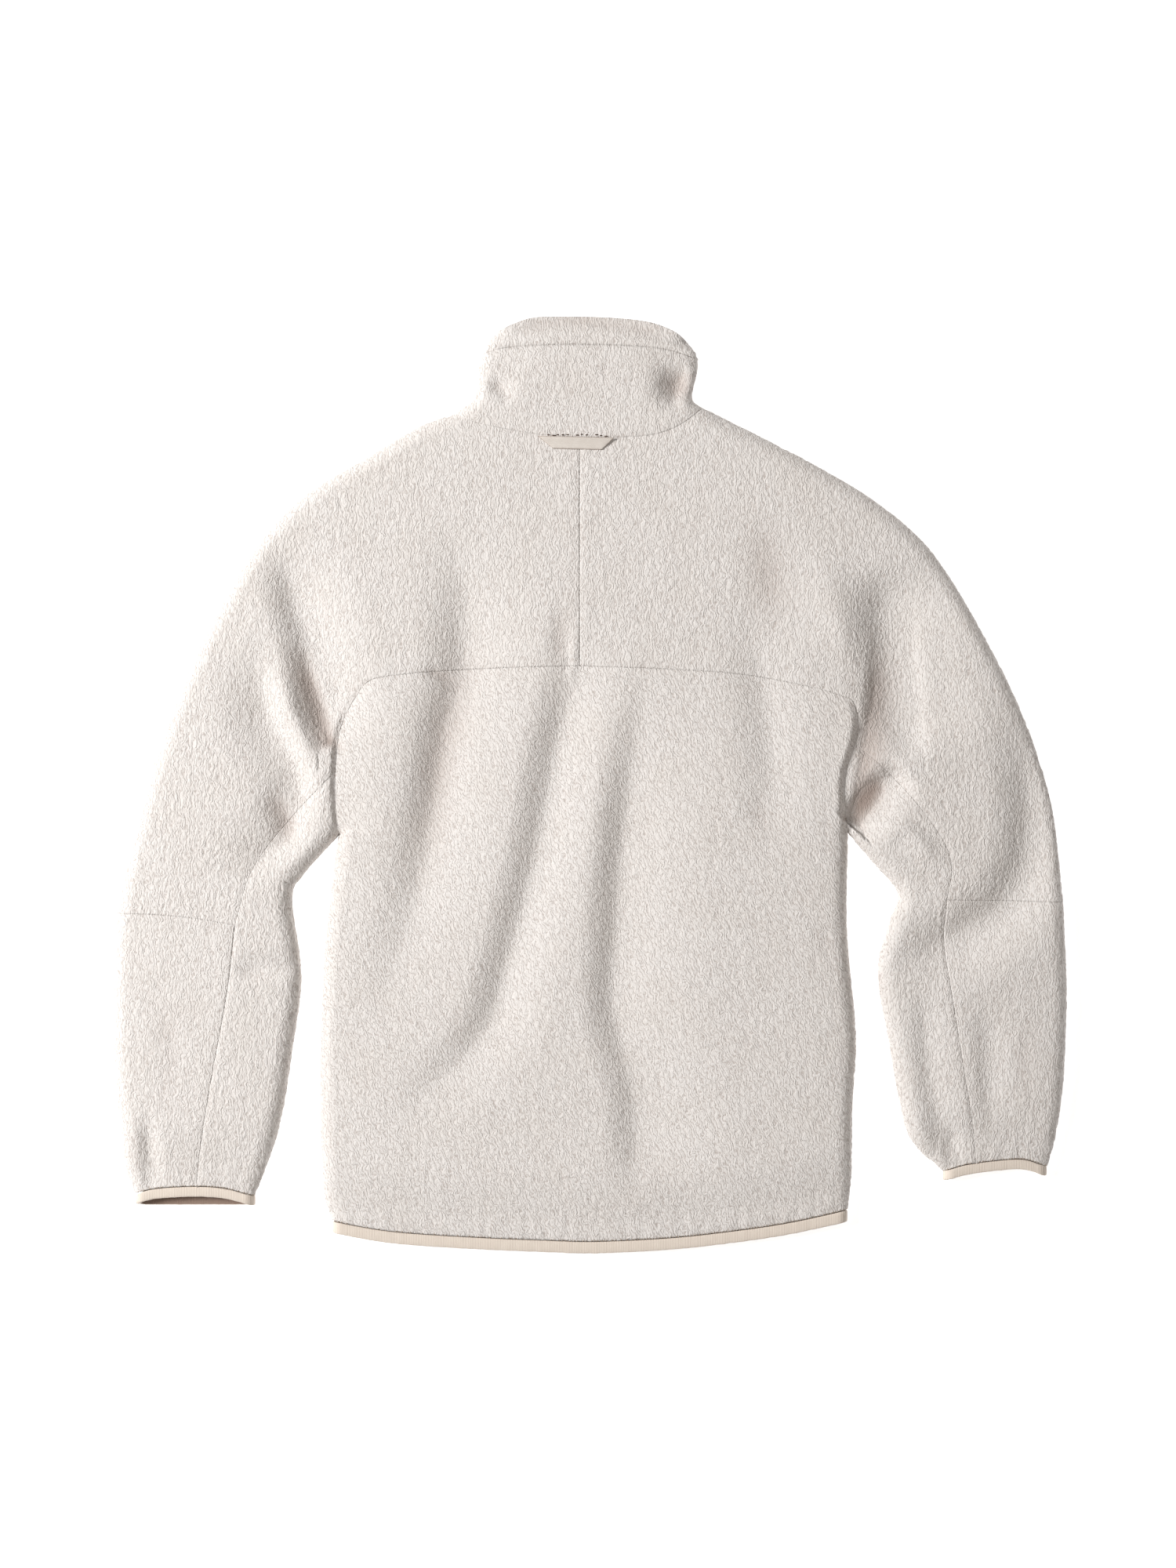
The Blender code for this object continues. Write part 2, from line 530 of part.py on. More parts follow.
def cuff_edge(side):
    """Lower edge of the sleeve's two back panels, from the outline to the inner outline."""
    outer = np.array(CURVES["lower_overarm_" + side][-1])
    corner = np.array(CURVES["lower_under_seam_" + side][-1])
    inner = np.array(CURVES["inner_sleeve_" + side][-1])
    forearm = spread(np.linalg.norm(corner - outer), ARM_ACROSS_CELLS, EDGE_ROWS)
    under = under_shares(np.linalg.norm(corner - inner))
    return np.vstack((cuff_run(side, 0.0, forearm), cuff_run(side, 1.0, under)[-2::-1]))


def hem_edge():
    """Lower edge of the back panel, with rows close together at both sides."""
    path = smooth_curve(CURVES["hem_line"])
    return place_along(path, spread(np.linalg.norm(path[-1] - path[0]), 2 * YOKE_SEAM_CELLS,
                                    EDGE_ROWS, EDGE_ROWS))


def under_sleeve(side):
    """Under-sleeve panel from the armhole to the cuff, along the sleeve's inner side."""
    seam_side = np.vstack((seam("upper_under_seam_" + side, UPPER_UNDER_CELLS),
                           seam("lower_under_seam_" + side, LOWER_UNDER_CELLS)[1:]))
    crease = seam("lower_crease_" + side, LOWER_CREASE_CELLS)
    open_cells = UPPER_UNDER_CELLS + LOWER_UNDER_CELLS - LOWER_CREASE_CELLS
    edge_side = np.vstack((crease, seam("inner_sleeve_" + side, open_cells)[1:]))
    seam_side[0] += TIP_SHARE * (seam_side[1] - seam_side[0])
    edge_side[0] += TIP_SHARE * (edge_side[1] - edge_side[0])
    lengths = np.linalg.norm(seam_side - edge_side, axis=1)
    shares = np.array([under_shares(length) for length in lengths])
    cuff = cuff_run(side, 1.0, shares[-1])
    plan = between_sides(edge_side, seam_side, shares, end=cuff)
    edge = outline_column(range(LOWER_CREASE_CELLS, len(edge_side)), 0, 1)
    return wall("under_sleeve_" + side, plan, back_height, True, (edge,),
                ("end", "last"), FLEECE)


def under_shares(length):
    """Cross shares of the under-sleeve, even where it is too narrow for the edge rows."""
    if length < 2 * EDGE_ROWS[-1]:
        return np.linspace(0, 1, UNDER_ACROSS_CELLS + 1)
    return spread(length, UNDER_ACROSS_CELLS, first_rows=EDGE_ROWS)


def back_body():
    """Back panel between the yoke seam, the creases at the armholes, the sides and the hem."""
    left = np.vstack((seam("upper_crease_left", UPPER_CREASE_CELLS),
                      seam("lower_crease_left", LOWER_CREASE_CELLS)[1:],
                      seam("side_left", SIDE_CELLS)[1:]))
    right = np.vstack((seam("upper_crease_right", UPPER_CREASE_CELLS),
                       seam("lower_crease_right", LOWER_CREASE_CELLS)[1:],
                       seam("side_right", SIDE_CELLS)[1:]))
    top = np.vstack((seam("yoke_seam_left", YOKE_SEAM_CELLS)[::-1],
                     seam("yoke_seam_right", YOKE_SEAM_CELLS)[1:]))
    cells = 2 * YOKE_SEAM_CELLS
    width = np.linalg.norm(right[-1] - left[-1])
    edged = spread(width, cells, EDGE_ROWS, EDGE_ROWS)
    even = (top[:, 0] - top[0, 0]) / (top[-1, 0] - top[0, 0])
    crease_rows = UPPER_CREASE_CELLS + LOWER_CREASE_CELLS
    change = ease((np.arange(len(left)) - UPPER_CREASE_CELLS) / (LOWER_CREASE_CELLS + 1))[:, None]
    shares = (1 - change) * even + change * edged
    plan = between_sides(left, right, shares, start=top, end=hem_edge())
    rows = range(crease_rows, len(left))
    edges = (outline_column(rows, 0, 1), outline_column(rows, -1, -2))
    plan[:crease_rows] = pull_in(plan, ("first", "last"))[:crease_rows]
    return wall("back_body", plan, back_height, True, edges, ("start", "end"), FLEECE)


def collar_back():
    """Stand collar above the neck seam, up to its band seam."""
    neck = np.vstack((neck_half("left")[::-1], neck_half("right")[1:]))
    band = band_seam()
    left = seam("collar_side_left", COLLAR_UP_CELLS)
    right = seam("collar_side_right", COLLAR_UP_CELLS)
    plan = fill_grid(neck, band, left, right)
    return back_collar_wall("collar_back", plan)


def band_seam():
    """Band seam from left to right, with rows close together at the outline."""
    return seam("band_seam", 2 * NECK_CELLS, NECK_ROWS, NECK_ROWS)


def collar_band_back():
    """Upper band of the collar, up to its open mouth."""
    mouth = seam("mouth", 2 * NECK_CELLS, NECK_ROWS, NECK_ROWS)
    left = seam("band_side_left", BAND_UP_CELLS)
    right = seam("band_side_right", BAND_UP_CELLS)
    plan = fill_grid(band_seam(), mouth, left, right)
    return back_collar_wall("collar_band_back", plan)


def back_collar_wall(name, plan):
    """Wall whose grid rows run up the collar, with the outline at both ends of each row."""
    rows = range(plan.shape[0])
    edges = (outline_column(rows, 0, 1), outline_column(rows, -1, -2))
    return wall(name, plan, back_height, True, edges, ("start", "end"), FLEECE)


def fill_grid(start, end, first, last):
    """Coons grid: the sum of the two ruled grids less the grid of the four corners."""
    u = np.linspace(0, 1, len(first))[:, None, None]
    v = np.linspace(0, 1, len(start))[None, :, None]
    ruled = (1 - u) * start[None] + u * end[None]
    side = (1 - v) * first[:, None] + v * last[:, None]
    corners = ((1 - u) * ((1 - v) * start[0] + v * start[-1])
               + u * ((1 - v) * end[0] + v * end[-1]))
    return ruled + side - corners


def hand_sign(side):
    """+1 for the right-hand side of the view and -1 for the left-hand side."""
    return 1 if side == "right" else -1


def front_edge(side):
    """X of the front edge beside the zip."""
    return CENTRE_FRONT + hand_sign(side) * ZIP_SLOT / 2


def front_raglan(side):
    """Front armhole seam from the neck seam to the underarm point."""
    neck = seam("front_neck_" + side, FRONT_NECK_CELLS)
    return place_along(smooth_curve((neck[1],) + CURVES["raglan_" + side]),
                       np.linspace(0, 1, ARMHOLE_CELLS + 1))


def front_sleeve(side):
    """Underside of the whole sleeve, from the neck seam to the cuff."""
    upper_cells = ARMHOLE_CELLS + FRONT_ARM_CELLS - OUTER_FOREARM_CELLS
    outer = np.vstack((place_along(smooth_curve(CURVES["overarm_" + side]),
                                   np.linspace(0, 1, upper_cells + 1)),
                       seam("lower_overarm_" + side, OUTER_FOREARM_CELLS)[1:]))
    inner = np.vstack((front_raglan(side), seam("inner_sleeve_" + side, FRONT_ARM_CELLS)[1:]))
    lengths = np.linalg.norm(inner - outer, axis=1)
    to_seam = np.array([sleeve_shares(length, False) for length in lengths])
    to_edge = np.array([sleeve_shares(length, True) for length in lengths])
    change = ease((np.arange(len(outer)) - ARMHOLE_CELLS + 1) / EDGE_CHANGE_ROWS)[:, None]
    shares = (1 - change) * to_seam + change * to_edge
    plan = between_sides(outer, inner, shares)
    rows = np.arange(len(outer))
    edges = (outline_column(rows, 0, 1), outline_column(rows[ARMHOLE_CELLS:], -1, -2))
    plan[:ARMHOLE_CELLS] = pull_in(plan, ("last",))[:ARMHOLE_CELLS]
    return wall("front_sleeve_" + side, plan, front_height, False, edges, ("start", "end"), FLEECE)


def sleeve_shares(length, both_edges):
    """Cross shares of the sleeve's underside, from its outline to its seam or inner outline."""
    if length < 2 * EDGE_ROWS[-1]:
        return np.linspace(0, 1, FRONT_ACROSS_CELLS + 1)
    rows = EDGE_ROWS[1:]
    return spread(length, FRONT_ACROSS_CELLS, rows, rows if both_edges else ())


def front_body(side):
    """Front panel between the neck seam, the armhole seam, the side, the hem and the zip."""
    outer = np.vstack((front_raglan(side), seam("side_" + side, SIDE_CELLS)[1:]))
    hem_path = smooth_curve(CURVES["hem_line"])
    x = front_edge(side)
    hem_share = np.interp(x, hem_path[:, 0], np.linspace(0, 1, len(hem_path)))
    hem_end = np.array((x, np.interp(x, hem_path[:, 0], hem_path[:, 1])))
    neck = seam("front_neck_" + side, FRONT_NECK_CELLS)[1:]
    neck[-1, 0] = x
    down = np.linspace(0, 1, len(outer))[:, None]
    centre = neck[-1] * (1 - down) + hem_end * down
    shares = np.array([spread(length, FRONT_NECK_CELLS - 1, EDGE_ROWS[1:])
                       for length in np.linalg.norm(centre - outer, axis=1)])
    side_end = 0.0 if side == "left" else 1.0
    run = place_along(hem_path, side_end + shares[-1] * (hem_share - side_end))
    run[-1] = hem_end
    plan = between_sides(outer, centre, shares, start=neck, end=run)
    plan[:ARMHOLE_CELLS] = pull_in(plan, ("first",))[:ARMHOLE_CELLS]
    edge = outline_column(range(ARMHOLE_CELLS, len(outer)), 0, 1)
    return wall("front_body_" + side, plan, front_height, False, (edge,), ("start", "end"), FLEECE)


def front_neck(side):
    """Front neck seam: the stretch that ends the sleeve, in the sleeve's cells, then the rest."""
    neck = seam("front_neck_" + side, FRONT_NECK_CELLS)
    neck[-1, 0] = front_edge(side)
    stretch = neck[1] - neck[0]
    shares = sleeve_shares(np.linalg.norm(stretch), False)
    return np.vstack((neck[0] + shares[:, None] * stretch, neck[2:]))


def front_run(side, name):
    """Half of the band seam or the mouth, from the outline to the front edge, divided as the
    front neck seam is."""
    path = smooth_curve(CURVES[name])
    if side == "right":
        path = path[::-1]
    x = front_edge(side)
    direction = 1 if path[-1, 0] > path[0, 0] else -1
    lengths = np.concatenate(([0.0], np.cumsum(np.linalg.norm(np.diff(path, axis=0), axis=1))))
    reach = np.interp(direction * x, direction * path[:, 0], lengths / lengths[-1])
    neck = front_neck(side)
    along = np.concatenate(([0.0], np.cumsum(np.linalg.norm(np.diff(neck, axis=0), axis=1))))
    run = place_along(path, reach * along / along[-1])
    run[-1, 0] = x
    return run


def collar_front(side):
    """Front half of the stand collar, from the front neck seam to the band seam."""
    plan = front_collar_plan(front_neck(side), front_run(side, "band_seam"),
                             seam("collar_side_" + side, COLLAR_UP_CELLS))
    return front_collar_wall("collar_front_" + side, plan)


def collar_band_front(side):
    """Front half of the collar's upper band."""
    plan = front_collar_plan(front_run(side, "band_seam"), front_run(side, "mouth"),
                             seam("band_side_" + side, BAND_UP_CELLS))
    return front_collar_wall("collar_band_" + side, plan)


def front_collar_plan(low, high, outer):
    """Plan grid between two seams, with the outline at one side and the zip at the other."""
    centre = np.linspace(low[-1], high[-1], len(outer))
    return fill_grid(low, high, outer, centre)


def front_collar_wall(name, plan):
    """Wall of a front collar piece, whose first column is on the outline."""
    edge = outline_column(range(len(plan)), 0, 1)
    return wall(name, plan, front_height, False, (edge,), ("start", "end"), FLEECE)


def binding_ring(name, back_line, width, cells, opening=None):
    """Folded elastic round an open end: a bar carried round a flattened ring. Its back run
    follows the panels' edge and its front run lies on the surface below. With an opening
    (two x values) the ring stops there on the front, on both sides of the zip."""
    half = BINDING_THICKNESS / 2
    back_level = OPEN_END_HEIGHT - PILE_WALL / 2
    turn = (back_level - FRONT_BINDING_HEIGHT) / 2
    path = back_line[back_line[:, 0].argsort()]
    low_x, high_x = path[0, 0] + turn + half, path[-1, 0] - turn - half
    xs = np.linspace(low_x, high_x, cells + 1)
    angle = np.linspace(np.pi / 2, 3 * np.pi / 2, BINDING_TURN_CELLS + 1)[1:-1]
    left_turn = [(low_x + turn * np.cos(a), turn * np.sin(a), np.cos(a), np.sin(a)) for a in angle]
    right_turn = [(high_x - turn * np.cos(a), -turn * np.sin(a), -np.cos(a), -np.sin(a))
                  for a in angle]
    back = [(x, turn, 0.0, 1.0) for x in xs[::-1]]
    if opening is None:
        front = [(x, -turn, 0.0, -1.0) for x in xs]
        track = back + left_turn + front + right_turn
    else:
        front_left = [(x, -turn, 0.0, -1.0) for x in xs if x < opening[0] - BINDING_STEP]
        front_right = [(x, -turn, 0.0, -1.0) for x in xs if x > opening[1] + BINDING_STEP]
        track = ([(opening[1], -turn, 0.0, -1.0)] + front_right + right_turn + back + left_turn
                 + front_left + [(opening[0], -turn, 0.0, -1.0)])
    track = np.array(track)
    middle = (back_level + FRONT_BINDING_HEIGHT) / 2
    edge_y = np.interp(track[:, 0], path[:, 0], path[:, 1]) - BINDING_GAP
    blend = (track[:, 1] / turn + 1) / 2
    front_y = edge_y if opening is not None else path[:, 1].min() - BINDING_GAP
    edge_y = blend * edge_y + (1 - blend) * front_y
    cut = BINDING_CORNER
    profile = ((-half, -cut), (-half + cut, 0.0), (half - cut, 0.0), (half, -cut),
               (half, -width + cut), (half - cut, -width), (-half + cut, -width),
               (-half, -width + cut))
    rings = np.array([[(row[0] + row[2] * out, y + down, middle + row[1] + row[3] * out)
                       for out, down in profile] for row, y in zip(track, edge_y)])
    return swept(name, rings, opening is None, BINDING)


def swept(name, rings, closed, finish):
    """Mesh from rings of points, joined end to end or closed with caps."""
    count, sides = rings.shape[:2]
    index = np.arange(count * sides).reshape(count, sides)
    following = np.roll(index, -1, axis=1)
    last = count if closed else count - 1
    ahead = np.roll(index, -1, axis=0)[:last]
    ahead_following = np.roll(following, -1, axis=0)[:last]
    faces = np.stack((index[:last], following[:last], ahead_following, ahead), axis=-1)
    faces = faces.reshape(-1, 4).tolist()
    if not closed:
        faces += [index[0][::-1].tolist(), index[-1].tolist()]
    return mesh_object(name, rings.reshape(-1, 3).tolist(), faces, finish)


def hanger_loop():
    """Tape loop on the yoke below the neck seam, a little off the cloth along its upper edge."""
    upper = np.linspace(*LOOP_UPPER_EDGE, LOOP_ROWS)
    lower = np.linspace(*LOOP_LOWER_EDGE, LOOP_ROWS)
    share = np.linspace(0, 1, LOOP_COLUMNS)
    plan = between_sides(lower, upper, np.tile(share, (LOOP_ROWS, 1)))
    lift = LOOP_LIFT_LOW + (LOOP_LIFT_HIGH - LOOP_LIFT_LOW) * share
    level = back_height(plan.reshape(-1, 2)).reshape(plan.shape[:2]) + lift
    inner = np.dstack((plan, level))
    outer = inner + np.array((0, 0, LOOP_THICKNESS))
    return closed_grid("hanger_loop", outer, inner, TAPE)


def box(name, low, high, finish):
    """Box between two corners."""
    bpy.ops.mesh.primitive_cube_add(size=1)
    item = bpy.context.object
    low, high = np.array(low), np.array(high)
    item.name = item.data.name = name
    item.location = (low + high) / 2
    item.scale = high - low
    bpy.context.view_layer.update()
    item.data.transform(item.matrix_world)
    item.matrix_world.identity()
    for group in list(item.users_collection):
        group.objects.unlink(item)
    return keep(item, finish)


def zip_parts():
    """Tape inside the fronts, moulded chain between them, and the slider at the chain's top."""
    slider_low = SLIDER_MIDDLE_Y - SLIDER_SIZE[1] / 2
    box("zip_tape", (CENTRE_FRONT - TAPE_WIDTH / 2, TAPE_LOW_Y, TAPE_LOW),
        (CENTRE_FRONT + TAPE_WIDTH / 2, TAPE_HIGH_Y, TAPE_HIGH), TAPE)
    box("zip_chain", (CENTRE_FRONT - CHAIN_WIDTH / 2, CHAIN_LOW_Y, CHAIN_LOW),
        (CENTRE_FRONT + CHAIN_WIDTH / 2, slider_low - SEAM_GAP, CHAIN_HIGH), CHAIN)
    body = box("zip_slider", (CENTRE_FRONT - SLIDER_SIZE[0] / 2, slider_low, SLIDER_LOW),
               (CENTRE_FRONT + SLIDER_SIZE[0] / 2, slider_low + SLIDER_SIZE[1],
                SLIDER_LOW + SLIDER_SIZE[2]), METAL)
    bridge = slider_bridge()
    join = body.modifiers.new("bridge", "BOOLEAN")
    join.operation = "UNION"
    join.solver = "EXACT"
    join.object = bridge


def slider_bridge():
    """Low arch under the slider that holds the pull tab, joined to the slider's body."""
    half = BRIDGE_LENGTH / 2
    inner = half - BRIDGE_POST
    floor = BRIDGE_LOW + BRIDGE_BAR
    root = SLIDER_LOW + SLIDER_SIZE[2] / 2
    side = ((-half, root), (-half, BRIDGE_LOW), (half, BRIDGE_LOW), (half, root),
            (inner, root), (inner, floor), (-inner, floor), (-inner, root))
    rings = np.array([[(CENTRE_FRONT + across * BRIDGE_WIDTH / 2, SLIDER_MIDDLE_Y + y, z)
                       for y, z in side] for across in (-1, 1)])
    arch = swept("slider bridge cutter", rings, False, METAL)
    garment.objects.unlink(arch)
    helpers.objects.link(arch)
    arch.hide_render = True
    arch.display_type = "WIRE"
    return arch


def pull_tab():
    """Flat pull tab with an eye, whose top bar turns in the slider's bridge. Its origin is on
    the axis that it turns about."""
    half = TAB_WIDTH / 2
    tip = -TAB_LENGTH
    outline = ((-half, TAB_BAR / 2), (half, TAB_BAR / 2), (half, tip + TAB_CORNER),
               (half - TAB_CORNER, tip), (-half + TAB_CORNER, tip), (-half, tip + TAB_CORNER))
    eye_half = TAB_EYE_WIDTH / 2
    eye_top, eye_low = -TAB_BAR / 2, -TAB_BAR / 2 - TAB_EYE_LENGTH
    eye = ((-eye_half, eye_top), (eye_half, eye_top), (eye_half, eye_low), (-eye_half, eye_low))
    shape = bpy.data.curves.new("zip_pull_tab", "CURVE")
    shape.dimensions = "2D"
    shape.fill_mode = "BOTH"
    shape.extrude = TAB_THICKNESS / 2
    for points in (outline, eye):
        run = shape.splines.new("POLY")
        run.points.add(len(points) - 1)
        for point, (x, y) in zip(run.points, points):
            point.co = (x, y, 0, 1)
        run.use_cyclic_u = True
    item = bpy.data.objects.new("zip_pull_tab", shape)
    item.location = (CENTRE_FRONT, SLIDER_MIDDLE_Y, TAB_PIVOT_HEIGHT)
    return keep(item, METAL)


for item in list(bpy.context.scene.objects):
    bpy.data.objects.remove(item, do_unlink=True)
garment = bpy.data.collections.new("fleece jacket")
helpers = bpy.data.collections.new("cutters")
bpy.context.scene.collection.children.link(garment)
bpy.context.scene.collection.children.link(helpers)

back_body()
collar_back()
collar_band_back()
hanger_loop()
for hand in ("left", "right"):
    back_yoke(hand)
    back_forearm(hand)
    under_sleeve(hand)
    front_sleeve(hand)
    front_body(hand)
    collar_front(hand)
    collar_band_front(hand)
    binding_ring("cuff_binding_" + hand, cuff_edge(hand), CUFF_BINDING_WIDTH, CUFF_RUN_CELLS)
binding_ring("hem_binding", hem_edge(), HEM_BINDING_WIDTH, HEM_RUN_CELLS,
             (front_edge("left"), front_edge("right")))
zip_parts()
pull_tab()
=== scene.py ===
"""Cream sherpa fleece jacket that lies flat with its back up.

Metres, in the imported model's frame: +X to the right-hand cuff of the back view, +Y to the collar,
+Z up from the surface. Every cut piece of fleece is a closed shell over the plan of its panel. The
outer faces of the back are one height function of the plan, those of the front lie on the surface,
and a curly pile is raised along their normals. The inner face lies a wall's thickness into the
cloth, on a coarser grid.
"""

from collections import namedtuple
from itertools import product

import bpy
import numpy as np
from bpy.props import FloatProperty, FloatVectorProperty, PointerProperty
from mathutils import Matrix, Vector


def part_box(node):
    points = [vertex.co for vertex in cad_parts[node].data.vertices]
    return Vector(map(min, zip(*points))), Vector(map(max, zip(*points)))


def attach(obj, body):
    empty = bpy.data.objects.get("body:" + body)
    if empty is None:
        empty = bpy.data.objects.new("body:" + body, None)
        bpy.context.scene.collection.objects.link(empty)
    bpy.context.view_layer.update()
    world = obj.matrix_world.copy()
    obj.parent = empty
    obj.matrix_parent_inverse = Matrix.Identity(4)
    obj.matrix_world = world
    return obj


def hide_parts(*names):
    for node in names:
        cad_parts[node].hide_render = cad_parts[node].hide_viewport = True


bl_info = {
    "name": "Fleece Jacket",
    "version": (1, 0, 0),
    "blender": (4, 5, 0),
    "location": "3D View > Sidebar > Jacket",
    "description": "Builds a sherpa fleece jacket that lies flat with its back up",
    "category": "Add Mesh",
}

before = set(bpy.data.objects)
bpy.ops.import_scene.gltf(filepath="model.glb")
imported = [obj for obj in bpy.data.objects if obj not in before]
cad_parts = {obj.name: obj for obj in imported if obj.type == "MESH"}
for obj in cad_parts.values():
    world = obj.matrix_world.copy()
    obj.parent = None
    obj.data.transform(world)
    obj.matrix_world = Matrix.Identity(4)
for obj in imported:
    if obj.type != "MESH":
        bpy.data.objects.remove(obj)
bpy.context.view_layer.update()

# Heights at which the cloth lies, and how its edges round over
SEAM_GAP = 0.0004
PILE_GAP = 0.00002
SIDE_FOLD_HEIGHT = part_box("back_body")[0].z - SEAM_GAP / 2
BACK_HEIGHT = 0.026
OPEN_END_HEIGHT = 0.0185
OPEN_END_TAPER = 0.060
LOWEST_BACK = 0.0176
LOWEST_BLEND = 0.0012
LOWEST_PILE = 0.0002
EDGE_RADIUS = 0.014
LARGEST_EDGE_SHARE = 0.35
CROWN_RADIUS = 0.055
CROWN_SHARE = 0.25
UNDER_RADIUS = 0.011
ON_OUTLINE = 0.00002
LEVEL_NORMAL_REACH = 0.0008
INNER_STRIDE = 4

# Folds, the shade in creases, and the gathers' waves
FOLD_SOFTNESS = 0.009
SOFTEST_SHARE = 0.4
CREASE_SHADE_DEPTH = 0.0068
GATHER_PITCH = 0.017
GATHER_WANDER = 5
GATHER_WANDER_SIZE = 0.020

# Seams: how strongly each draws the pile in, the swell beside it, in widths of the dent, and the
# width and height of the strips of pile pushed up beside some
SEWN = {"neck": 0.75, "band": 0.3, "yoke": 0.45, "centre": 0.45, "armhole": 0.5, "under": 0.5,
        "elbow": 0.2, "bound": 1.0, "front": 1.0}
SEAM_REACH = 0.030
SWELL_PLACE = 2.6
SWELL_WIDTH = 1.4
SWELL_SHARE = 0.22
RIDGES = {"centre": (0.0085, 0.0002), "elbow": (0.007, 0.0004), "under": (0.007, 0.0003),
          "band": (0.0085, 0.0012)}

# Pile: its nap as turns from the jacket's length, the slower noise that bends its ridges, how narrow
# they are, how much finer the second set is, the share of each in the pattern, what is lost of the
# curls' height at the seams, the painted shade that darkens the pile in the seams' dents and on the
# rolled edge at the outline, and the length of the wave texture's waves at a scale of 1
NAPS = {"sherpa_upright": 0.06, "sherpa_body": 0.55}
SLOW_SCALE = 0.45
BEND_ACROSS = 0.9
BEND_ALONG = 0.6
RIDGE_SHARPNESS = 2.6
FINER = 1.9
RIDGE_SHARE = 0.55
FINE_SHARE = 0.30
CLUMP_SHARE = 0.20
PATTERN_BASE = 0.12
PATTERN_MIDDLE = 0.5
SEWN_CURL_LOSS = 0.65
SEWN_PAINTED_SHADE = 0.20
RIM_PAINTED_SHADE = 0.15
RIM_RADIUS = 0.008
WAVE_LENGTH = 0.314

# How the panels are gridded: shares of the boundaries' lengths at which the rows pass from one
# neighbour to the next, and how sharply the grids bend to their ends
OVERARM_STOPS = (0.0, 0.24, 0.46, 1.0)
YOKE_SEAM_STOP = 0.5
UNDER_TIP = (0.015, 0.004)
UNDER_SEAM_STOP = 0.25
INNER_SLEEVE_STOP = 0.5
FRONT_OVERARM_STOP = 7 / 15
FRONT_INNER_SLEEVE_STOP = 8 / 14
FRONT_NECK_SHARE = 1 / 6
BEND_POWER = 4
SIDES = ("left", "right")
WHOLE = (0, None)

# Folded elastic: its section as a squared arc, in degrees, and the slot for the cloth, both in
# shares of half the thickness and of the width, with the limits of its inner face, which is painted
# dark as the shade inside the opening
BINDING_ARC = (100, 440, 22)
BINDING_SQUARING = (0.55, 0.35)
BINDING_SLOT = ((0.22, 0.16, -0.16, -0.22), (-0.15, -0.62, -0.62, -0.15))
BINDING_INSIDE = (-0.3, -0.93)
BINDING_TURN_POINTS = 15
BINDING_RIPPLE = (0.10, 0.05)
BINDING_RIPPLE_SIZE = 0.006
BINDING_END_ROOM = 0.001
LOWEST_BINDING = 0.0003

# Hanger loop: its lower and upper edge in plan, its grid, how far it stands off the yoke, its
# thickness and its rounding, and the painted shade along its border
LOOP_LOWER = ((-0.0325, 0.2985), (0.0105, 0.2975))
LOOP_UPPER = ((-0.0465, 0.3095), (0.0215, 0.3080))
LOOP_GRID = (65, 13)
LOOP_LIFT = 0.0006
LOOP_UPPER_LIFT = 0.0018
LOOP_BOW = 0.0008
LOOP_THICKNESS = 0.0007
LOOP_ROUNDING = 0.0005
LOOP_ROUNDING_POWERS = (20, 8)
LOOP_BORDER_SHADE = 0.7

# Stitches: each ring's share of the length, its girth and its height in radii, the sides of a ring,
# how deep a stitch sinks in radii, and where the rows lie
STITCH_RINGS = ((0.0, 0.35, -0.6), (0.2, 1.0, 0.3), (0.8, 1.0, 0.3), (1.0, 0.35, -0.6))
STITCH_SIDES = 6
STITCH_SINK = 0.6
STITCH_OFFSET = (0.0, 0.0005)
# The neck's row is dark thread that also stands for the shadow in the gap between the collar and the
# loop's upper edge: partly real thread, partly painted shadow.
NECK_STITCHES = ((-0.0385, 0.3112), (-0.010, 0.3108), (0.0165, 0.3106))

# Zip, from the solids that it is laid over. A tooth's sections are its place along X and its width,
# and the teeth are sized in shares of half the chain and of the pitch
CENTRE_FRONT = (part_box("zip_chain")[0].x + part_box("zip_chain")[1].x) / 2
FRONT_EDGES = {"left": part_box("front_body_left")[1].x, "right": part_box("front_body_right")[0].x}
ZIP_TAPE_GRID = (161, 13)
TOOTH_SECTIONS = ((-0.40, 0.55), (-0.05, 0.50), (0.12, 0.42), (0.30, 0.62), (0.50, 0.40))
TOOTH_SIDES = 8
TOOTH_SQUARING = 0.6
TOOTH_LENGTH = 1.6
TOOTH_WIDTH = 0.46 / 0.62
TOOTH_HEIGHT = 0.98
TOOTH_SHIFT = 0.28
FIRST_TOOTH = 0.75

# Stage: the floor's half width, each light's place, aim and size, the sky's tint, and the point of
# the jacket at the picture's middle
FLOOR_REACH = 4.0
LIGHTS = {"key": ((-2.7, 0.6, 2.45), (0.0, -0.05, 0.0), 1.1),
          "fill": ((0.5, -0.2, 2.6), (0.05, 0.0, 0.0), 2.6)}
SKY_COLOUR = (1.0, 0.95, 0.90, 1.0)
PICTURE_MIDDLE = (-0.00175, 0.00105)

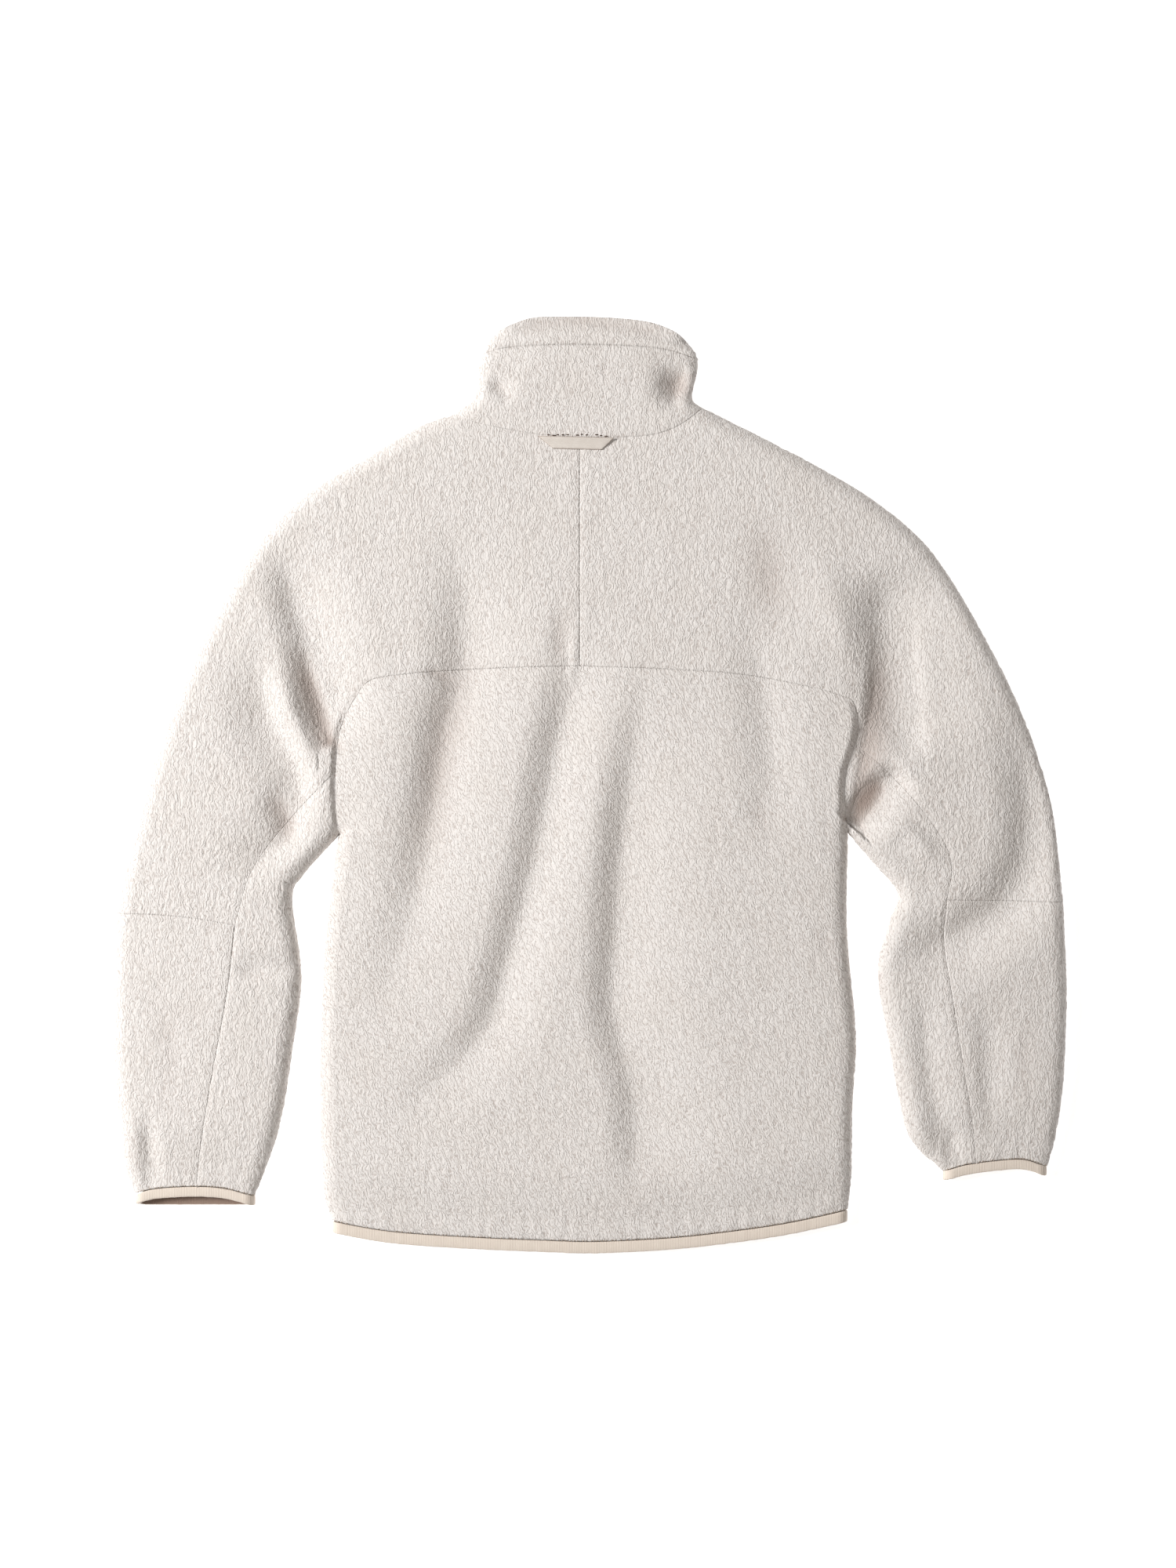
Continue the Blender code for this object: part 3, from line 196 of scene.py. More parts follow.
# Outline and seams in plan, each a smooth curve through a few points (x, y)
CURVES = {
    "neck_left": ((-0.009, 0.309), (-0.044, 0.311), (-0.079, 0.317), (-0.104, 0.323), (-0.121, 0.331)),
    "neck_right": ((-0.009, 0.309), (0.033, 0.309), (0.060, 0.312), (0.082, 0.321), (0.101, 0.336)),
    "overarm_left": ((-0.121, 0.331), (-0.153, 0.319), (-0.195, 0.294), (-0.262, 0.252),
                     (-0.308, 0.197), (-0.353, 0.113), (-0.385, 0.030), (-0.411, -0.062),
                     (-0.422, -0.114)),
    "overarm_right": ((0.101, 0.336), (0.153, 0.310), (0.201, 0.285), (0.254, 0.253),
                      (0.302, 0.211), (0.347, 0.141), (0.388, 0.057), (0.412, -0.020),
                      (0.422, -0.104)),
    "lower_overarm_left": ((-0.422, -0.114), (-0.425, -0.181), (-0.423, -0.258), (-0.415, -0.335),
                           (-0.406, -0.364)),
    "lower_overarm_right": ((0.422, -0.104), (0.425, -0.188), (0.422, -0.265), (0.415, -0.314),
                            (0.408, -0.340)),
    "yoke_seam_left": ((-0.009, 0.106), (-0.107, 0.103), (-0.177, 0.097), (-0.198, 0.091),
                       (-0.208, 0.079)),
    "yoke_seam_right": ((-0.009, 0.106), (0.068, 0.103), (0.138, 0.098), (0.201, 0.086),
                        (0.233, 0.076)),
    "upper_crease_left": ((-0.208, 0.079), (-0.218, 0.061), (-0.224, 0.040), (-0.226, 0.012)),
    "upper_crease_right": ((0.233, 0.076), (0.238, 0.063), (0.239, 0.050), (0.236, 0.037)),
    "lower_crease_left": ((-0.226, 0.012), (-0.226, -0.016), (-0.224, -0.044)),
    "lower_crease_right": ((0.236, 0.037), (0.228, 0.010), (0.227, -0.015), (0.230, -0.042)),
    "upper_under_seam_left": ((-0.226, 0.012), (-0.268, -0.031), (-0.300, -0.075), (-0.315, -0.124)),
    "upper_under_seam_right": ((0.236, 0.037), (0.273, 0.004), (0.310, -0.043), (0.321, -0.072),
                               (0.317, -0.102)),
    "lower_under_seam_left": ((-0.315, -0.124), (-0.322, -0.184), (-0.336, -0.261),
                              (-0.348, -0.335), (-0.350, -0.358)),
    "lower_under_seam_right": ((0.317, -0.102), (0.316, -0.146), (0.329, -0.233), (0.341, -0.307),
                               (0.344, -0.337)),
    "elbow_seam_left": ((-0.422, -0.114), (-0.386, -0.115), (-0.352, -0.118), (-0.315, -0.124)),
    "elbow_seam_right": ((0.422, -0.104), (0.369, -0.103), (0.317, -0.102)),
    "inner_sleeve_left": ((-0.224, -0.044), (-0.257, -0.081), (-0.266, -0.103), (-0.258, -0.170),
                          (-0.266, -0.237), (-0.278, -0.307), (-0.299, -0.366)),
    "inner_sleeve_right": ((0.230, -0.042), (0.253, -0.069), (0.275, -0.097), (0.267, -0.124),
                           (0.257, -0.167), (0.266, -0.223), (0.276, -0.279), (0.287, -0.317),
                           (0.315, -0.344)),
    "side_left": ((-0.224, -0.044), (-0.229, -0.083), (-0.236, -0.142), (-0.240, -0.230),
                  (-0.240, -0.300), (-0.237, -0.363), (-0.230, -0.388)),
    "side_right": ((0.230, -0.042), (0.229, -0.128), (0.237, -0.223), (0.234, -0.286),
                   (0.233, -0.349), (0.230, -0.378)),
    "hem_line": ((-0.230, -0.388), (-0.177, -0.397), (-0.107, -0.402), (-0.037, -0.405),
                 (0.005, -0.406), (0.068, -0.403), (0.117, -0.398), (0.173, -0.390),
                 (0.230, -0.378)),
    "cuff_line_left": ((-0.406, -0.364), (-0.387, -0.359), (-0.352, -0.357), (-0.324, -0.359),
                       (-0.299, -0.366)),
    "cuff_line_right": ((0.408, -0.340), (0.387, -0.333), (0.362, -0.334), (0.334, -0.338),
                        (0.315, -0.344)),
    "collar_side_left": ((-0.121, 0.331), (-0.108, 0.340), (-0.103, 0.348), (-0.099, 0.372),
                         (-0.095, 0.385)),
    "collar_side_right": ((0.101, 0.336), (0.092, 0.342), (0.091, 0.350), (0.095, 0.367),
                          (0.096, 0.380)),
    "band_side_left": ((-0.095, 0.385), (-0.090, 0.395), (-0.083, 0.404)),
    "band_side_right": ((0.096, 0.380), (0.092, 0.389), (0.085, 0.397)),
    "band_seam": ((-0.095, 0.385), (-0.067, 0.390), (-0.006, 0.392), (0.061, 0.389),
                  (0.096, 0.380)),
    "mouth": ((-0.083, 0.404), (-0.068, 0.411), (-0.048, 0.4166), (-0.009, 0.4172), (0.026, 0.4157),
              (0.054, 0.412), (0.073, 0.405), (0.085, 0.397)),
    "front_neck_left": ((-0.121, 0.331), (-0.113, 0.303), (-0.079, 0.256), (-0.040, 0.238),
                        (-0.012, 0.234)),
    "front_neck_right": ((0.101, 0.336), (0.095, 0.303), (0.062, 0.256), (0.024, 0.238),
                         (-0.004, 0.234)),
    "raglan_left": ((-0.150, 0.120), (-0.203, 0.015), (-0.224, -0.044)),
    "raglan_right": ((0.135, 0.120), (0.205, 0.015), (0.230, -0.042)),
}

# Folds as soft troughs: a path, its depth (negative for a ridge), the width of its two slopes, seen
# walking along the path, and the shares of its length over which it fades in and out
Fold = namedtuple("Fold", "name path depth left right fade_in fade_out")
FOLDS = (
    Fold("blade_left", ((-0.126, 0.250), (-0.112, 0.168), (-0.112, 0.108), (-0.127, 0.045),
                        (-0.140, -0.034), (-0.162, -0.130), (-0.208, -0.260)),
         0.0082, 0.075, 0.046, 0.28, 0.55),
    Fold("centre_left", ((-0.015, 0.165), (-0.015, 0.099), (-0.029, 0.030), (-0.046, -0.060),
                         (-0.070, -0.150), (-0.098, -0.226), (-0.190, -0.315)),
         0.0070, 0.055, 0.034, 0.25, 0.35),
    Fold("centre", ((0.060, 0.125), (0.043, 0.045), (0.031, -0.050), (0.026, -0.125),
                    (0.023, -0.195), (0.040, -0.265), (0.043, -0.330), (0.030, -0.400)),
         0.0078, 0.090, 0.034, 0.35, 0.20),
    Fold("right_blade", ((0.135, 0.200), (0.156, 0.071), (0.163, -0.027), (0.159, -0.090)),
         0.0035, 0.045, 0.040, 0.45, 0.45),
    Fold("left_arm_front", ((-0.282, 0.225), (-0.252, 0.141), (-0.234, 0.078), (-0.224, 0.050),
                            (-0.226, 0.029)), 0.0100, 0.060, 0.034, 0.35, 0.25),
    Fold("left_arm_ridge", ((-0.285, 0.110), (-0.262, 0.050), (-0.244, 0.010), (-0.232, 0.022)),
         -0.0030, 0.018, 0.018, 0.40, 0.30),
    Fold("left_arm_back", ((-0.301, 0.141), (-0.288, 0.064), (-0.262, 0.012), (-0.267, -0.037),
                           (-0.299, -0.071), (-0.313, -0.104)), 0.0080, 0.026, 0.050, 0.35, 0.30),
    Fold("right_arm_front", ((0.257, 0.201), (0.270, 0.141), (0.278, 0.071), (0.283, 0.043),
                             (0.289, 0.015)), 0.0120, 0.080, 0.050, 0.30, 0.25),
    Fold("right_arm_ridge", ((0.292, 0.170), (0.300, 0.070), (0.308, 0.000)),
         -0.0020, 0.026, 0.016, 0.40, 0.40),
    Fold("right_shoulder_ridge", ((0.196, 0.225), (0.218, 0.155), (0.232, 0.100)),
         -0.0030, 0.045, 0.050, 0.45, 0.30),
    Fold("right_armpit", ((0.283, 0.015), (0.263, -0.002), (0.249, -0.020), (0.233, -0.037)),
         0.0100, 0.034, 0.024, 0.25, 0.00),
    Fold("right_under_ridge", ((0.248, -0.045), (0.280, -0.040), (0.312, -0.075)),
         -0.0025, 0.015, 0.018, 0.30, 0.35),
    Fold("right_elbow", ((0.372, 0.100), (0.392, 0.001), (0.392, -0.060), (0.372, -0.105),
                         (0.335, -0.133), (0.290, -0.152), (0.258, -0.172)),
         0.0100, 0.050, 0.042, 0.40, 0.25),
    Fold("right_forearm", ((0.352, -0.180), (0.355, -0.244), (0.354, -0.324)),
         0.0026, 0.034, 0.022, 0.35, 0.40),
    Fold("right_forearm_inner", ((0.294, -0.163), (0.303, -0.265), (0.322, -0.342)),
         0.0026, 0.026, 0.018, 0.35, 0.20),
    Fold("left_forearm", ((-0.322, -0.164), (-0.289, -0.164), (-0.255, -0.162)),
         0.0026, 0.022, 0.014, 0.40, 0.10),
    Fold("left_cuff_pleat", ((-0.394, -0.285), (-0.390, -0.360)), 0.0030, 0.016, 0.012, 0.45, 0.10),
    Fold("right_cuff_pleat", ((0.321, -0.300), (0.324, -0.342)), 0.0026, 0.014, 0.010, 0.45, 0.10),
    Fold("collar_dimple_right", ((0.070, 0.328), (0.078, 0.357), (0.082, 0.380)),
         0.0055, 0.028, 0.014, 0.40, 0.40),
    Fold("collar_dimple_left", ((-0.096, 0.359), (-0.080, 0.352), (-0.064, 0.343)),
         0.0026, 0.016, 0.014, 0.40, 0.40),
    Fold("armhole_left", ((-0.190, 0.094), (-0.208, 0.079), (-0.218, 0.061), (-0.224, 0.040),
                          (-0.226, 0.012), (-0.226, -0.016), (-0.224, -0.044)),
         0.0030, 0.040, 0.006, 0.55, 0.00),
    Fold("armhole_right", ((0.215, 0.082), (0.233, 0.076), (0.239, 0.060), (0.236, 0.037),
                           (0.228, 0.010), (0.227, -0.015), (0.230, -0.042)),
         0.0042, 0.034, 0.008, 0.45, 0.00),
)
# Slighter creases, which only the pile's own surface follows
CREASES = (
    Fold("seam_end_hollow", ((-0.022, 0.165), (-0.026, 0.130), (-0.030, 0.106)),
         0.0012, 0.014, 0.016, 0.35, 0.25),
    Fold("seam_end_ridge", ((-0.012, 0.150), (-0.014, 0.110), (-0.020, 0.080)),
         -0.0014, 0.008, 0.008, 0.40, 0.40),
    Fold("right_yoke_hollow", ((0.150, 0.255), (0.160, 0.190), (0.168, 0.120)),
         0.0018, 0.034, 0.034, 0.45, 0.45),
    Fold("dimple_right", ((0.075, 0.338), (0.080, 0.357), (0.082, 0.374)),
         0.0036, 0.030, 0.020, 0.45, 0.45),
    Fold("dimple_left", ((-0.088, 0.356), (-0.081, 0.3545), (-0.072, 0.351)),
         0.0014, 0.009, 0.009, 0.45, 0.45),
    Fold("blade_deep", ((-0.112, 0.150), (-0.114, 0.100), (-0.132, 0.040), (-0.144, -0.030),
                        (-0.160, -0.110)), 0.0024, 0.034, 0.030, 0.40, 0.50),
    Fold("mouth_shade", ((-0.074, 0.404), (-0.009, 0.4125), (0.076, 0.400)),
         0.0014, 0.012, 0.010, 0.20, 0.20),
    Fold("blade_kink", ((-0.150, 0.104), (-0.134, 0.098), (-0.118, 0.092)),
         0.0020, 0.008, 0.010, 0.40, 0.40),
    Fold("left_sleeve_kink", ((-0.236, 0.045), (-0.226, 0.036), (-0.214, 0.026)),
         0.0014, 0.008, 0.009, 0.40, 0.40),
    Fold("right_armpit_pocket", ((0.264, 0.008), (0.246, -0.016), (0.235, -0.037)),
         0.0042, 0.014, 0.016, 0.30, 0.00),
    Fold("left_sleeve_hollow", ((-0.286, 0.002), (-0.272, -0.030), (-0.262, -0.060)),
         0.0030, 0.014, 0.020, 0.40, 0.40),
    Fold("left_armhole_hollow", ((-0.264, 0.135), (-0.250, 0.090), (-0.238, 0.055), (-0.230, 0.028)),
         0.0046, 0.014, 0.022, 0.45, 0.10),
    Fold("right_armhole_hollow", ((0.256, 0.150), (0.254, 0.090), (0.248, 0.045), (0.242, 0.008),
                                  (0.237, -0.034)), 0.0040, 0.036, 0.014, 0.45, 0.12),
    Fold("right_blade_end", ((0.146, 0.000), (0.150, -0.022), (0.156, -0.045)),
         0.0009, 0.018, 0.020, 0.45, 0.45),
    Fold("right_flank_patch", ((0.202, -0.115), (0.208, -0.138), (0.212, -0.160)),
         0.0006, 0.014, 0.016, 0.45, 0.45),
    Fold("centre_swell", ((0.026, -0.190), (0.040, -0.265), (0.043, -0.330), (0.032, -0.395)),
         -0.0022, 0.060, 0.034, 0.35, 0.15),
    Fold("left_forearm_band", ((-0.392, -0.170), (-0.372, -0.230), (-0.380, -0.300)),
         0.0008, 0.016, 0.020, 0.45, 0.45),
    Fold("right_forearm_band", ((0.394, -0.190), (0.386, -0.240), (0.390, -0.300)),
         0.0008, 0.016, 0.016, 0.45, 0.45),
)


def smooth_curve(points, steps_each=16):
    """Catmull-Rom curve through the points, as a fine run of straight steps."""
    knots = np.array(points, float)
    knots = np.vstack((2 * knots[0] - knots[1], knots, 2 * knots[-1] - knots[-2]))
    t = np.linspace(0, 1, steps_each, endpoint=False)[None, :, None]
    a, b, c, d = (knots[k:len(knots) - 3 + k, None] for k in range(4))
    run = 0.5 * (2 * b + (c - a) * t + (2 * a - 5 * b + 4 * c - d) * t ** 2
                 + (3 * b - a - 3 * c + d) * t ** 3)
    return np.vstack((run.reshape(-1, knots.shape[1]), knots[-2]))


def curve(name):
    """A named curve of the plan as a fine run of straight steps."""
    return smooth_curve(CURVES[name])


def travelled(path):
    """Distance from a path's start to each of its points."""
    return np.concatenate(([0.0], np.cumsum(np.linalg.norm(np.diff(path, axis=0), axis=1))))


def place_along(path, shares):
    """Points of a path at the given shares of its length."""
    lengths = travelled(path)
    wanted = np.asarray(shares) * lengths[-1]
    return np.column_stack([np.interp(wanted, lengths, path[:, k]) for k in range(path.shape[1])])


def shares_of(path):
    """Share of a path's length at each of its points."""
    lengths = travelled(path)
    return lengths / lengths[-1]


def cut(path, start, end):
    """The stretch of a path between two shares of its length."""
    inner = shares_of(path)[1:-1]
    inner = inner[(inner > start) & (inner < end)]
    return place_along(path, np.concatenate(([start], inner, [end])))


def curves(side, *names):
    """Several named curves of one side of the jacket."""
    return [curve(name + "_" + side) for name in names]


def joined(*paths):
    """Paths that meet end to end as one path."""
    return np.vstack([paths[0]] + [path[1:] for path in paths[1:]])


def cells(length, step):
    """Number of cells for a length, rounded up to a whole number of the inner grid's cells."""
    return INNER_STRIDE * max(1, int(np.ceil(length / step / INNER_STRIDE)))


def rows_for(pair, step):
    """Number of cells along a pair of stretches, set by the longer one."""
    return cells(max(travelled(path)[-1] for path in pair), step)


def matched(pairs, step):
    """Two boundaries of a panel as equally long runs of points: each pair of stretches is
    divided into the same number of even cells."""
    runs = [[place_along(path, np.linspace(0, 1, rows_for(pair, step) + 1)) for path in pair]
            for pair in pairs]
    return [joined(*boundary) for boundary in zip(*runs)]


def ease(value):
    """Smooth rise from 0 to 1."""
    value = np.clip(value, 0, 1)
    return value * value * (3 - 2 * value)


def edged_shares(lengths, step, last=False):
    """Cross shares for runs of the given lengths. Next to the outline at their start, and at their
    last end if asked, they are spaced as the points of a quarter circle are in plan, radius times
    one less the cosine, and evenly between."""
    turn = cells(np.pi / 2 * EDGE_RADIUS, step)
    middle = cells(lengths.max() - EDGE_RADIUS * (1 + last), step)
    whole = lengths[:, None]
    radius = np.minimum(EDGE_RADIUS, LARGEST_EDGE_SHARE * whole)
    rise = (1 - np.cos(np.linspace(0, np.pi / 2, turn + 1))) * radius
    even = radius + (whole - radius * (1 + last)) * np.linspace(0, 1, middle + 1)
    runs = [rise[:, :-1], even]
    if last:
        runs.append(whole - rise[:, -2::-1])
    return np.hstack(runs) / whole


def between(first, last, shares, start=None, end=None):
    """Plan grid of straight runs between two boundaries: first plus share times (last less
    first), bent at both ends, by a power of the place, to fit two given end curves."""
    straight = first[:, None] + shares[..., None] * (last - first)[:, None]
    place = np.linspace(0, 1, len(first))[:, None, None]
    grid = straight
    for given, row, weight in ((start, 0, 1 - place), (end, -1, place)):
        if given is not None:
            bend = given - straight[row]
            moved = [[np.interp(run, shares[row], bend[:, k]) for run in shares] for k in (0, 1)]
            grid = grid + np.stack(moved, axis=-1) * weight ** BEND_POWER
    return grid


def filled(start, end, first, last, shares):
    """Coons grid: the sum of the two ruled grids less the grid of the four corners, with the
    columns at the given shares."""
    u = np.linspace(0, 1, len(first))[:, None, None]
    v = shares[None, :, None]
    ruled = (1 - u) * start[None] + u * end[None]
    side = (1 - v) * first[:, None] + v * last[:, None]
    corners = ((1 - u) * ((1 - v) * start[0] + v * start[-1])
               + u * ((1 - v) * end[0] + v * end[-1]))
    return ruled + side - corners


def run_lengths(first, last):
    """Lengths of the straight runs between two boundaries."""
    return np.linalg.norm(last - first, axis=1)


class Lines:
    """Several paths as one set of straight segments, for distances in plan."""

    def __init__(self, paths):
        """Keep each segment's start and step, and its share of its path."""
        self.start = np.vstack([path[:-1] for path in paths])
        self.step = np.vstack([np.diff(path, axis=0) for path in paths])
        self.before = np.concatenate([shares_of(path)[:-1] for path in paths])
        self.part = np.concatenate([np.diff(shares_of(path)) for path in paths])

    def reach(self, points, limit, block=1500):
        """For each point: the vector to it from the nearest place on the segments, that place's
        share of its path and the side it lies on (+1 is left). Beyond the limit the vector's
        length is the limit."""
        vector = np.tile((limit, 0.0), (len(points), 1))
        along = np.zeros(len(points))
        side = np.ones(len(points))
        low_end = np.minimum(self.start, self.start + self.step) - limit
        high_end = np.maximum(self.start, self.start + self.step) + limit
        for at in range(0, len(points), block):
            here = slice(at, at + block)
            some = points[here]
            near = ((low_end <= some.max(0)) & (high_end >= some.min(0))).all(1)
            if not near.any():
                continue
            start, step = self.start[near], self.step[near]
            offset = some[:, None] - start[None]
            share = np.clip((offset * step).sum(2) / (step ** 2).sum(1), 0, 1)
            across = offset - share[:, :, None] * step
            squared = (across ** 2).sum(2)
            best = squared.argmin(1)
            row = np.arange(len(some))
            inside = squared[row, best] < limit ** 2
            turn = step[best, 0] * offset[row, best, 1] - step[best, 1] * offset[row, best, 0]
            vector[here] = np.where(inside[:, None], across[row, best], vector[here])
            along[here] = self.before[near][best] + share[row, best] * self.part[near][best]
            side[here] = np.where(turn >= 0, 1.0, -1.0)
        return vector, along, side

    def distance(self, points, limit):
        """Distance of each point from the segments, at most the limit."""
        return np.linalg.norm(self.reach(points, limit)[0], axis=1)


GATHERED_ENDS = [curve(name) for name in ("hem_line", "cuff_line_left", "cuff_line_right")]
GATHERED = Lines(GATHERED_ENDS)
OPEN_ENDS = Lines(GATHERED_ENDS + [curve("mouth")])
OUTLINE = Lines([path for side in SIDES for path in curves(
    side, "overarm", "lower_overarm", "inner_sleeve", "side", "collar_side", "band_side")])


def trough(points, folds):
    """Sum of the folds: depth times (1 - t) squared, where t goes from 0 on the path to 1 at the
    top of the slope, softened where it meets the path."""
    total = np.zeros(len(points))
    for fold in folds:
        reach = max(fold.left, fold.right)
        vector, along, side = Lines([smooth_curve(fold.path)]).reach(points, reach)
        width = np.where(side > 0, fold.left, fold.right)
        soft = np.minimum(FOLD_SOFTNESS, SOFTEST_SHARE * width)
        distance = np.hypot(np.linalg.norm(vector, axis=1), soft) - soft
        across = np.clip(distance / (np.hypot(width, soft) - soft), 0, 1)
        fade = ease(along / max(fold.fade_in, 1e-6)) * ease((1 - along) / max(fold.fade_out, 1e-6))
        total += fold.depth * (1 - across) ** 2 * fade
    return total


def rounding(distance, radius):
    """Quarter circle that rises from 0 at the outline to 1 at the radius."""
    return np.sqrt(1 - (1 - np.clip(distance / radius, 0, 1)) ** 2)


def back_level(points, edge):
    """Height of the back: the side fold's height plus the cloth's full height, less its folds,
    times two quarter circles of the distance from the outline."""
    profile = ((1 - CROWN_SHARE) * rounding(edge, EDGE_RADIUS)
               + CROWN_SHARE * rounding(edge, CROWN_RADIUS))
    open_end = OPEN_ENDS.distance(points, OPEN_END_TAPER)
    full = (OPEN_END_HEIGHT + (BACK_HEIGHT - OPEN_END_HEIGHT) * ease(open_end / OPEN_END_TAPER)
            - trough(points, FOLDS))
    full = LOWEST_BACK + LOWEST_BLEND * np.logaddexp(0, (full - LOWEST_BACK) / LOWEST_BLEND)
    return SIDE_FOLD_HEIGHT + (full - SIDE_FOLD_HEIGHT) * profile


def on_back(points):
    """Height of the back's face at points of the plan."""
    return back_level(points, OUTLINE.distance(points, CROWN_RADIUS))


def front_level(edge):
    """Height of the front: flat on the surface, with a quarter circle up to the side fold."""
    return SIDE_FOLD_HEIGHT * (1 - rounding(edge, UNDER_RADIUS))


def past(level, limit, sign):
    """Level kept above a limit where the sign is 1, or below it where it is -1."""
    return sign * np.maximum(sign * level, sign * limit)


def unit(vectors, least=1e-9):
    """Vectors divided by their lengths."""
    return vectors / np.maximum(np.linalg.norm(vectors, axis=-1), least)[..., None]


def gradient_noise(points, seed, count=256):
    """Gradient noise in three dimensions: random slopes at the corners of unit cells, blended by
    a fifth-power ease."""
    draw = np.random.default_rng(seed)
    slopes = unit(draw.normal(size=(count, 3)))
    order = draw.permutation(count)
    low = np.floor(points).astype(int)
    part = points - low
    blend = part ** 3 * (part * (part * 6 - 15) + 10)
    total = np.zeros(len(points))
    for corner in product((0, 1), repeat=3):
        x, y, z = (low + corner).T
        pick = order[(x + order[(y + order[z % count]) % count]) % count]
        weight = np.where(corner, blend, 1 - blend).prod(axis=1)
        total += weight * ((part - corner) * slopes[pick]).sum(1)
    return total


def ridges_of(points, seed):
    """Ridges that stand where a noise crosses zero, 1 along their backs."""
    return np.clip(1 - RIDGE_SHARPNESS * np.abs(gradient_noise(points, seed)), 0, 1)


def curls(points, nap, fleece):
    """Pile pattern from 0 in its pits to about 1 on its curls: wandering ridges of a noise that is
    stretched along the nap and bent by a slower noise, with finer ridges and slow clumps on them."""
    turn = np.array(((np.cos(nap), -np.sin(nap)), (np.sin(nap), np.cos(nap))))
    turned = np.column_stack((points[:, :2] @ turn, points[:, 2]))
    turned = turned / (fleece.curl_width, fleece.curl_length, fleece.curl_width)
    turned[:, 0] += BEND_ACROSS * gradient_noise(turned * SLOW_SCALE, 11)
    turned[:, 1] += BEND_ALONG * gradient_noise(turned * SLOW_SCALE + 9.3, 12)
    return (RIDGE_SHARE * ridges_of(turned, 21) + FINE_SHARE * ridges_of(turned * FINER + 4.7, 22)
            + CLUMP_SHARE * gradient_noise(points / fleece.clump_size, 23) + PATTERN_BASE)


def sewn_in(points, seams, fleece):
    """How far the seams draw the pile in, 1 at a seam of full strength: a bell curve of the
    distance less a lower one for the swell of pile beside it."""
    total = np.zeros(len(points))
    for path, strength in seams:
        distance = Lines([path]).distance(points, SEAM_REACH) / fleece.seam_width
        dent = np.exp(-distance ** 2)
        drawn = dent - SWELL_SHARE * np.exp(-((distance - SWELL_PLACE) / SWELL_WIDTH) ** 2)
        total = np.where(np.abs(total) > strength * dent, total, strength * drawn)
    return total


def bump(share):
    """Rounded bump over shares from 0 to 1."""
    share = np.clip(share, 0, 1)
    return (1 - (2 * share - 1) ** 2) ** 2


# One cut piece: its name, the solid's, its plan as a grid, seams with their strengths, the stretches
# of its sides that meet other panels, raised strips, whether it is on the back, and its material
Panel = namedtuple("Panel", "name node plan seams sewn ridges upward finish",
                   defaults=((), True, "sherpa_upright"))


def fleece_panel(panel, fleece):
    """Closed shell of one panel, and its size as cut. The outer face is the plan raised to the
    cloth's level, with seams, gathers and pile along the normal, and the inner face is a wall's
    thickness from it."""
    shape = panel.plan.shape[:2]
    flat = panel.plan.reshape(-1, 2)
    reach = OUTLINE.reach(flat, CROWN_RADIUS)[0]
    edge = np.linalg.norm(reach, axis=1)
    away = outline_directions(reach, edge, shape)
    sign = 1 if panel.upward else -1
    meeting = SIDE_FOLD_HEIGHT + sign * SEAM_GAP / 2
    level = past(back_level(flat, edge) if panel.upward else front_level(edge), meeting, sign)
    rise = rounding(edge, EDGE_RADIUS)
    through = np.column_stack((away * np.clip(1 - edge / EDGE_RADIUS, 0, 1)[:, None], -sign * rise))
    solid = np.column_stack((pulled_in(panel, SEAM_GAP / 2), level))
    inner = solid + through * fleece.wall
    inner[:, 2] = past(inner[:, 2], meeting, sign)
    dressed = np.column_stack((pulled_in(panel, PILE_GAP / 2), level))
    sewn = sewn_in(flat, panel.seams, fleece)
    relief = -fleece.seam_depth * sewn * rise
    crease = np.zeros(len(flat))
    if panel.upward:
        crease = trough(flat, CREASES)
        relief -= crease + fleece.fold_share * trough(flat, FOLDS)
        relief += ridge_relief(flat, panel.ridges) + gathers(flat, fleece)
    dressed[:, 2] += sign * relief
    pattern = curls(solid, NAPS[panel.finish], fleece)
    sewn = np.clip(sewn, 0, 1)
    curl = fleece.curl_height * (pattern - PATTERN_MIDDLE) * (1 - SEWN_CURL_LOSS * sewn)
    curl *= 1 + fleece.edge_fuzz * (1 - rise)
    dressed += grid_normals(dressed, away, edge, shape, sign) * curl[:, None]
    if not panel.upward:
        dressed[:, 2] = np.maximum(dressed[:, 2], LOWEST_PILE)
    # The pile value sets the colour from pits to curl tips, and it carries painted shade: darker in the
    # seams' dents and on the rolled edge at the outline.
    pile = (np.clip(pattern, 0, 1) * (1 - SEWN_PAINTED_SHADE * sewn)
            * (1 - RIM_PAINTED_SHADE * (1 - rounding(edge, RIM_RADIUS))))
    # The hollow value is painted shade: the fleece turns towards the crease shade colour where a crease
    # is deep.
    values = {"pile": pile, "hollow": np.clip(crease / CREASE_SHADE_DEPTH, 0, 1)}
    piece = shell(panel.name, dressed.reshape(*shape, 3), inner.reshape(*shape, 3), sign, values)
    return piece, sheet_size(solid.reshape(*shape, 3))


def outline_directions(reach, edge, shape):
    """Unit directions away from the outline, with those on the outline itself taken from the next
    point in."""
    away = unit(reach).reshape(*shape, 2)
    edge = edge.reshape(shape)
    for rim, inner in ((np.s_[:, 0], np.s_[:, 1]), (np.s_[:, -1], np.s_[:, -2]),
                       (np.s_[0], np.s_[1]), (np.s_[-1], np.s_[-2])):
        touching = edge[rim] < ON_OUTLINE
        away[rim][touching] = away[inner][touching]
    return away.reshape(-1, 2)


